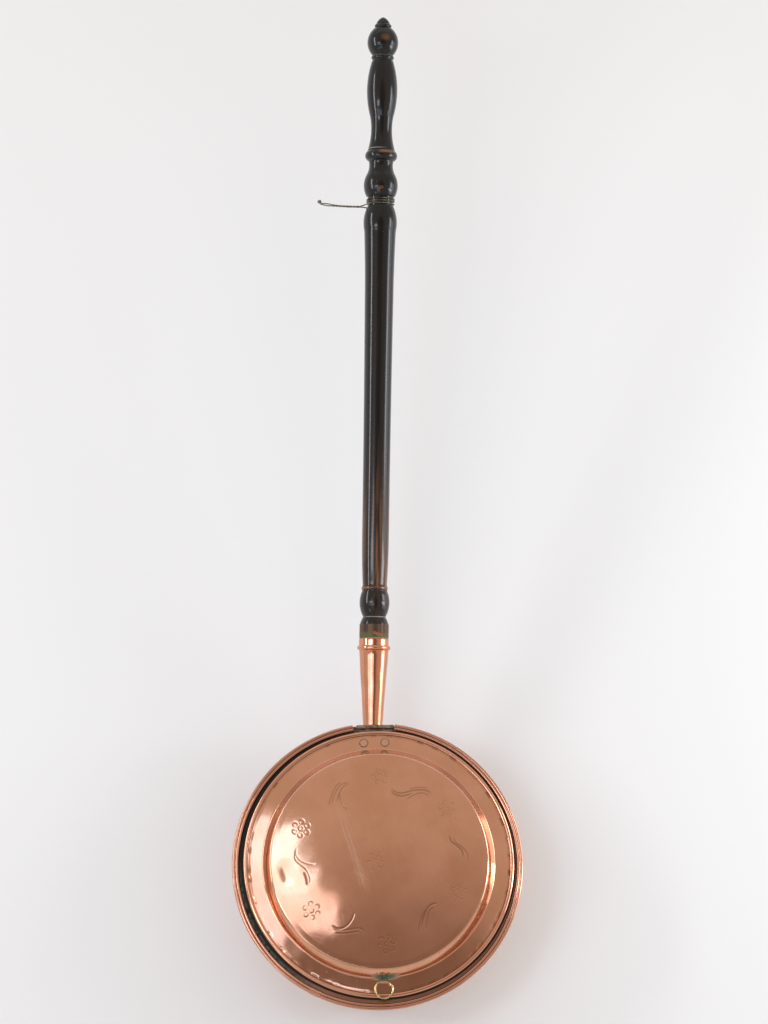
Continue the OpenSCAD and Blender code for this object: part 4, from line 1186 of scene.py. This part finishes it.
@dataclass
class Handle:
    """Turned handle, the copper socket that takes it and the wire round its neck."""

    axis: HandleAxis = field(default_factory=HandleAxis)
    start: float = 92.8
    end: float = 751.8
    wall_foot: float = 128.11
    wall_slope: float = math.tan(math.radians(5.66))
    saddle_face: float = 1.3
    wire_r: float = 0.6
    slant: float = 0.7
    wind_r: float = 14.45
    wind_from: float = -3.2
    neck_at: float = 554.5
    pitch: float = 2.5
    tail_x: float = 22.0
    tail_s: float = -5.9
    tail_rise: float = 2.6
    tail_curl: float = 2.6
    tail_len: float = 41.5
    twists: float = 4.25
    over_r: float = 1.85

    def wood_outline(self) -> np.ndarray:
        """Section of the wood as (radius, distance along the handle), from the tenon's end to the tip."""
        c, e = self.start, self.end
        return np.vstack((
            [(0.5, 24.0), (10.4, 24.0), (14.0, 79.2), (14.0, c + 0.2)],
            line((15.3, c + 0.2), (15.3, c + 14.6)),
            bow((15.0, c + 15.4), (12.0, c + 22.6), -0.3),
            belly((12.0, c + 23.4), (13.4, c + 49.6), 15.7),
            belly((13.1, c + 50.6), (13.1, c + 55.2), 13.8),
            bow((12.7, c + 56.0), (14.1, c + 105.0), -0.35),
            bow((14.1, c + 105.0), (15.1, e - 301.0), 0.25),
            bow((15.1, e - 301.0), (16.7, e - 229.0), 0.35),
            bow((16.7, e - 229.0), (13.7, e - 202.2), -2.2),
            line((13.7, e - 202.2), (13.7, e - 192.6)),
            belly((15.0, e - 192.2), (15.2, e - 169.0), 18.0),
            bow((15.2, e - 169.0), (13.0, e - 154.6), 1.35),
            belly((13.2, e - 154.4), (15.4, e - 144.6), 17.0),
            bow((14.7, e - 143.8), (12.2, e - 107.2), 2.2),
            belly((12.2, e - 107.2), (11.4, e - 47.6), 16.1),
            bow((11.4, e - 47.6), (10.6, e - 46.0), 0.2),
            belly((11.2, e - 45.6), (11.2, e - 41.8), 12.0),
            belly((11.0, e - 41.0), (8.3, e - 11.4), 16.35),
            belly((8.2, e - 11.2), (7.7, e - 8.0), 9.0),
            bow((7.4, e - 7.6), (0.35, e), -1.2),
        ))

    def wood(self) -> bpy.types.Object:
        """Makes the turned wood."""
        outline = thin_out(soften(self.wood_outline(), 0.25, 0.32), 6.0, 5.0)
        outline[:, 0] = np.maximum(outline[:, 0], 0.3)
        outline[:, 1] = np.minimum(outline[:, 1], self.end - 0.1)
        return skin("turned_handle", self.axis.place(turned(outline, 112)), Ends.FLAT, 60.0)

    def socket(self) -> bpy.types.Object:
        """Makes the copper cone with its bead and collar; its root follows the saddle on the pan's wall.

        The root starts where the distance from the pan's axis equals the wall's radius plus the saddle, found
        by halving an interval for every direction round the handle at once.
        """
        root = -20.0
        outer = np.vstack((
            line((10.1, root), (10.1, 0.0), 6),
            line((10.1, 2.0), (15.2, 79.2), 20),
            belly((15.5, 80.6), (15.6, 85.8), 17.5, 20),
            line((15.6, 86.2), (15.6, 92.2), 5),
            bow((15.58, 92.3), (15.1, 92.8), -0.1, 5),
        ))
        bore = np.vstack((line((14.2, 92.8), (14.2, 79.2), 6), line((9.1, 2.0), (9.1, root), 6)))
        outline = np.vstack((outer, bore))
        rows = turned(outline, 96)
        low = np.full(rows.shape[:2], root)
        high = np.full(rows.shape[:2], 2.0)
        for _ in range(18):
            middle = (low + high) / 2
            probe = self.axis.place(np.stack((rows[..., 0], rows[..., 1], middle), axis=-1))
            face = self.wall_foot + (probe[..., 2]) * self.wall_slope + self.saddle_face
            outside = np.hypot(probe[..., 0], probe[..., 1]) > face
            high = np.where(outside, middle, high)
            low = np.where(outside, low, middle)
        share = np.clip((rows[..., 2] - root) / (2.0 - root), 0.0, 1.0)
        rows[..., 2] = np.where(rows[..., 2] <= 2.0, high + share * (2.0 - high), rows[..., 2])
        swell = ripple(rows[..., 2], np.arctan2(rows[..., 1], rows[..., 0]) * 14.0, 30.0, 0.06, 15)
        swell *= ease((rows[..., 2] - 4.0) / 8.0)
        swell[len(outer) :] = 0.0
        rows[..., :2] *= (1.0 + swell / np.hypot(rows[..., 0], rows[..., 1]))[..., None]
        return skin("copper_socket", self.axis.place(rows), Ends.JOINED, 40.0)

    def winding(self, a: np.ndarray) -> np.ndarray:
        """Wire round the neck at angle a, in degrees, climbing steadily; the last turns cross back over it."""
        leave = math.degrees(math.acos(self.wind_r / self.tail_x))
        crossing = np.maximum(0.0, (-720.0 - a) / (180.0 - leave))
        share = ease(crossing)
        r = self.wind_r + self.over_r * ease(crossing * 3.2)
        t = np.radians(a)
        climb = self.wind_from + self.pitch * (180.0 - leave - a) / 360.0
        climb = climb - self.slant * np.cos(t) * np.clip((1.5 - climb) / 4.0, 0.0, 1.0)
        s = climb * (1 - share) + (self.tail_s + 0.6) * share
        return np.column_stack((r * np.cos(t), -r * np.sin(t), s))

    def tail(self, u: np.ndarray) -> np.ndarray:
        """Middle line of the twisted tail at share u of its length, rising towards its end."""
        climb = self.tail_s + self.tail_rise * u**self.tail_curl
        return np.column_stack((-self.tail_x - self.tail_len * u, 0.0 * u, climb))

    def strand(self, u: np.ndarray, side: float) -> np.ndarray:
        """One strand of the tail: it circles the middle line, and the two part before the end."""
        spread = 0.64 + 0.35 * ease((u - 0.6) / 0.12) * (1 - ease((u - 0.84) / 0.12))
        t = np.radians(360.0 * self.twists * np.minimum(u, 0.76) / 0.76 - 90.0)
        return self.tail(u) + side * spread[:, None] * np.column_stack((0.0 * t, np.sin(t), np.cos(t)))

    def wire(self) -> bpy.types.Object:
        """Makes the whole wire as one line: end loop, strand, winding and the other strand."""
        leave = math.degrees(math.acos(self.wind_r / self.tail_x))
        loop = np.arange(660.0, 0.0, -12.0)
        t = np.radians(loop)
        turns = loop / 360
        loop_r = 1.45
        end = self.tail(np.ones(1)) + np.column_stack(
            (-loop_r * np.sin(t) - 0.9 * turns, 0.9 * turns, 0.64 + loop_r - loop_r * np.cos(t))
        )
        u = np.linspace(0.0, 1.0, 110)
        wound = self.winding(np.linspace(180.0 - leave, -900.0 + leave, 190))
        path = np.vstack((end, self.strand(u[::-1], 1.0), wound, self.strand(u, -1.0)))
        path = resample(path, run_of(path), np.arange(0.0, run_of(path)[-1], 0.7))
        bell = np.array([1.0, 2.0, 1.0]) / 4
        inner = np.column_stack([np.convolve(path[:, i], bell, "valid") for i in range(3)])
        path = np.vstack((path[0], inner, path[-1]))
        path[:, 2] += self.neck_at
        return skin("hanging_wire_loop", tube(self.axis.place(path), self.wire_r, 12), Ends.FLAT, 60.0)

    def build(self, dull_wire: bpy.types.Material) -> None:
        """Makes the wood, the socket and the wire."""
        install(self.wood(), Body.PAN, Slot.EBONISED_WOOD, [WoodFinish(self.axis).build()], "wooden_handle")
        red, deep = (0.74, 0.335, 0.2), (0.66, 0.275, 0.155)
        finish = CopperFinish("socket_copper", red, deep, smooth=0.07, dull=0.13, clouds=20.0, seed=300.0).build()
        install(self.socket(), Body.PAN, Slot.COPPER, [finish], "socket_cone")
        install(self.wire(), Body.PAN, Slot.TARNISHED_WIRE, [dull_wire], "hanging_wire")


@dataclass
class LiftRing:
    """Squashed brass wire ring that hangs in its strap, its ends side by side at one corner."""

    pivot: Place = (4.2, -122.2, 91.9313)
    wire_r: float = 0.95
    half: float = 9.05
    reach: float = 16.6
    fall: float = 2.3
    bar: float = 4.0
    inner_r: float = 2.6

    def path(self) -> np.ndarray:
        """Line of the wire in the ring's own plane: from the outer tip round and over the bar to the inner end."""
        drop = self.half - self.reach
        reach_in = 3.4
        bend = (reach_in, -self.inner_r)
        left_end = math.degrees(math.acos(-self.bar / self.half))
        outer = arc((0.0, drop), self.half, 30.0, -180.0, 60)
        shoulder = arc((0.0, drop), self.half, 180.0, left_end + 14.0, 12)[1:]
        rounded = corner(tuple(shoulder[-1]), (-self.bar - 1.0, 0.0), (0.0, 0.0), 2.4, 8)
        inner = arc(bend, self.inner_r, 90.0, 0.0, 10)
        tip = line(tuple(inner[-1]), (reach_in + self.inner_r, -3.5), 4)[1:]
        return np.vstack((outer, shoulder, rounded, line((-self.bar, 0.0), (reach_in, 0.0), 6)[1:-1], inner, tip))

    def build(self, brass: bpy.types.Material) -> None:
        """Makes the ring, leaning on the rolled edge."""
        flat = self.path()
        t = math.radians(self.fall)
        path = np.column_stack((flat[:, 0], flat[:, 1] * math.cos(t), flat[:, 1] * math.sin(t))) + self.pivot
        piece = skin("brass_lift_ring", tube(path, self.wire_r, 20), Ends.FLAT, 60.0)
        install(piece, Body.RING, Slot.BRASS_WIRE, [brass], "lift_ring")


@dataclass
class Dresser:
    """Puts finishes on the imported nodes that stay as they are."""

    finishes: dict[Slot, bpy.types.Material] = field(default_factory=dict)
    special: dict[str, bpy.types.Material] = field(default_factory=dict)

    def prepare(self) -> None:
        """Makes one material for each slot but the wood's, and those of single pieces."""
        aged = AgedFinish("aged_copper", (0.16, 0.11, 0.085), (0.38, 0.27, 0.205), (0.12, 0.2, 0.15), 0.5, seed=31.0)
        brass = AgedFinish("brass_wire", (0.42, 0.31, 0.13), (0.78, 0.66, 0.36), (0.2, 0.26, 0.16), 0.2, 0.3, 41.0)
        dull = AgedFinish("tarnished_wire", (0.07, 0.065, 0.045), (0.24, 0.22, 0.16), (0.13, 0.17, 0.12), 0.3, 0.5, 51.0)
        iron = AgedFinish("iron_wire", (0.06, 0.05, 0.045), (0.14, 0.115, 0.10), (0.12, 0.055, 0.03), 0.4, 0.55, 61.0)
        self.finishes = {
            Slot.COPPER: CopperFinish("rivet_copper", clouds=6.0, seed=400.0).build(),
            Slot.AGED_COPPER: aged.build(),
            Slot.BRASS_WIRE: brass.build(),
            Slot.TARNISHED_WIRE: dull.build(),
            Slot.IRON_WIRE: iron.build(),
        }
        strap = StrapCopper("strap_copper", clean=(0.72, 0.42, 0.33), smooth=0.16, dull=0.28, clouds=5.0, seed=500.0)
        self.special = {"ring_strap": strap.build()}

    def dress(self, name: str, node: bpy.types.Object, slot: Slot) -> None:
        """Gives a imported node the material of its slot, or its own."""
        node.data.materials.clear()
        node.data.materials.append(self.special.get(name, self.finishes[slot]))
        LOG.info("dressed %s in %s", name, slot.value)


@dataclass(frozen=True)
class Lamp:
    """One soft rectangular lamp that faces a point of the object."""

    name: str
    at: Place
    aim: Place
    size: Point
    glow: float
    turn: float = 0.0
    tone: Colour = (1.0, 1.0, 1.0)

    def hang(self) -> None:
        """Places the lamp, its width level and square to its aim, then turned about its aim.

        Its power is its glow times pi times its area, so that a glow of 1 is as bright as white paper.
        """
        data = bpy.data.lights.new(self.name, "AREA")
        data.shape = "RECTANGLE"
        data.size, data.size_y = self.size
        data.energy = self.glow * math.pi * self.size[0] * self.size[1]
        lamp = bpy.data.objects.new(self.name, data)
        bpy.context.scene.collection.objects.link(lamp)
        lamp.location = self.at
        data.color = self.tone
        away = (Vector(self.at) - Vector(self.aim)).normalized()
        level = Vector((0.0, 1.0, 0.0)).cross(away).normalized()
        facing = Matrix((level, away.cross(level), away)).transposed()
        turned_facing = (facing @ Matrix.Rotation(math.radians(self.turn), 3, "Z")).to_4x4()
        lamp.matrix_world = Matrix.Translation(Vector(self.at)) @ turned_facing
        lamp.visible_camera = False


@dataclass
class Studio:
    """Camera, pale floor and soft light."""

    camera_at: Place = (-0.1193, -0.7752, 3.9744)
    tilt: float = 16.5307
    roll: float = -0.4779
    yaw: float = 1.8691
    lens: float = 135.0
    long_side: float = 36.0
    floor_half: float = 30.0
    floor_grey: Colour = (0.86, 0.865, 0.87)
    room: float = 0.68
    shade: float = 0.27
    shade_tone: Colour = (1.0, 0.78, 0.66)
    shade_way: Place = (0.035, -0.208, 0.978)
    warmth: Colour = (1.0, 0.88, 0.78)
    ceiling: Colour = (1.0, 1.0, 1.0)
    lamps: tuple[Lamp, ...] = (
        Lamp("window_top", (-0.20, 0.195, 0.9), (-0.20, 0.195, 0.0), (0.12, 0.10), 2.5, 0.0, DAYLIGHT),
        Lamp("window_middle", (-0.186, 0.12, 0.9), (-0.186, 0.12, 0.0), (0.148, 0.05), 1.9, 0.0, (0.78, 1.0, 1.24)),
        Lamp("window_low", (-0.163, 0.0475, 0.9), (-0.163, 0.0475, 0.0), (0.194, 0.095), 1.6, 0.0, (0.92, 0.98, 1.2)),
        Lamp("window_side_top", (-0.34, 0.2275, 0.9), (-0.34, 0.2275, 0.0), (0.16, 0.195), 1.7, 0.0, (0.72, 1.0, 1.34)),
        Lamp("window_side_low", (-0.34, -0.005, 0.9), (-0.34, -0.005, 0.0), (0.16, 0.27), 1.45, 0.0, (0.84, 0.98, 1.32)),
        Lamp("far_socket_strip", (-2.0, -0.785, 3.1), (-2.0, -0.785, 0.0), (3.8, 0.33), 2.0, 0.0, (0.74, 0.96, 1.25)),
        Lamp("left_strip", (-1.9, 0.85, 1.1), (0.0, 0.85, 0.15), (0.22, 1.6), 11.0, 0.0, (0.98, 1.0, 1.03)),
        Lamp("far_shaft_strip", (-1.9, -0.15, 3.1), (-1.9, -0.15, 0.0), (1.4, 0.4), 6.0),
        Lamp("right_window", (1.5, 0.12, 0.62), (0.0, 0.12, 0.1), (0.7, 0.3), 8.0, 0.0, (0.94, 1.0, 1.06)),
        Lamp("right_shaft_window", (1.5, 0.7, 0.66), (0.0, 0.7, 0.2), (0.36, 0.6), 5.0),
        Lamp("far_low_window", (0.0, 2.6, 1.05), (0.0, 0.1, 0.1), (3.0, 0.8), 0.3, 0.0, (0.85, 1.0, 1.12)),
        Lamp("low_left_softbox", (-1.6, -1.2, 1.5), (0.0, 0.3, 0.1), (0.5, 0.5), 2.0, 0.0, (0.98, 1.0, 1.03)),
        Lamp("right_softbox", (1.5, 0.3, 0.36), (0.0, 0.3, 0.1), (0.72, 1.2), 2.0, 0.0, (0.9, 1.0, 1.1)),
    )

    def camera(self) -> bpy.types.Object:
        """Places the camera at the photograph's viewing angle.

        The view direction leans by the tilt from straight down towards +Y and by the yaw towards +X, and the
        picture is turned about it by the roll.

        Returns:
            The camera.
        """
        t, r, w = (math.radians(a) for a in (self.tilt, self.roll, self.yaw))
        forward = Vector((math.sin(w), math.sin(t) * math.cos(w), -math.cos(t) * math.cos(w)))
        level = forward.cross(Vector((0.0, math.cos(t), math.sin(t)))).normalized()
        steep = level.cross(forward)
        right = math.cos(r) * level + math.sin(r) * steep
        up = -math.sin(r) * level + math.cos(r) * steep
        data = bpy.data.cameras.new("camera")
        data.lens = self.lens
        data.sensor_width = self.long_side
        data.clip_end = 100.0
        camera = bpy.data.objects.new("camera", data)
        bpy.context.scene.collection.objects.link(camera)
        facing = Matrix((right, up, -forward)).transposed().to_4x4()
        camera.matrix_world = Matrix.Translation(Vector(self.camera_at)) @ facing
        bpy.context.scene.camera = camera
        return camera

    def floor(self) -> None:
        """Makes the plain pale floor under the pan."""
        h = self.floor_half
        mesh = bpy.data.meshes.new("floor")
        mesh.from_pydata([(-h, -h, 0.0), (h, -h, 0.0), (h, h, 0.0), (-h, h, 0.0)], [], [(0, 1, 2, 3)])
        floor = bpy.data.objects.new("floor", mesh)
        bpy.context.scene.collection.objects.link(floor)
        material, r = new_recipe("floor")
        r.surface({"Base Color": (*self.floor_grey, 1.0), "Roughness": 0.9})
        mesh.materials.append(material)

    def air(self) -> None:
        """Makes the even glow of the room, warm overhead and dimmer where the camera and its holder stand.

        The glow rises with the angle from that direction, from 8 to 28 degrees, and the warmth fades from 40 to
        65 degrees.
        """
        world = bpy.data.worlds.new("room")
        bpy.context.scene.world = world
        world.use_nodes = True
        r = Recipe(world.node_tree, "Generated")
        inputs = {0: r.place, 1: self.shade_way}
        facing = r.node("ShaderNodeVectorMath", {"operation": "DOT_PRODUCT"}, inputs, "Value")
        away = facing.ramp(math.cos(math.radians(8.0)), math.cos(math.radians(28.0)))
        glow = self.shade + away * (self.room - self.shade)
        side = facing.ramp(math.cos(math.radians(40.0)), math.cos(math.radians(65.0)))
        tone = r.tint(side, r.tint(away, self.shade_tone, self.warmth), self.ceiling)
        shade = r.node("ShaderNodeBackground", {}, {"Color": tone, "Strength": glow})
        r.node("ShaderNodeOutputWorld", {}, {"Surface": shade})

    def build(self) -> None:
        """Sets up the whole studio and plain colour handling."""
        bpy.context.scene.view_settings.view_transform = "Standard"
        self.camera()
        self.floor()
        self.air()
        for lamp in self.lamps:
            lamp.hang()


def main() -> None:
    """Builds everything in order."""
    logging.basicConfig(level=logging.INFO, format="%(name)s: %(message)s")
    Studio().build()
    dresser = Dresser()
    dresser.prepare()
    soot = SootFinish().build()
    Lid().build(soot)
    Pan().build(soot)
    Handle().build(dresser.finishes[Slot.TARNISHED_WIRE])
    LiftRing().build(dresser.finishes[Slot.BRASS_WIRE])
    rivet_copper = RivetCopper("lid_rivet_copper", clouds=3.0, smooth=0.2, dull=0.35, seed=600.0).build()
    LidRivet("lid_rivet_left", (-12.4, 127.9)).build(rivet_copper)
    LidRivet("lid_rivet_right", (9.6, 128.3)).build(rivet_copper)
    for part in frame["record"]["subparts"]:
        node = frame["nodes"][part["node"]]
        if not node.hide_render:
            dresser.dress(part["node"], node, Slot(part["material_slot"]))


if __name__ == "__main__":
    main()
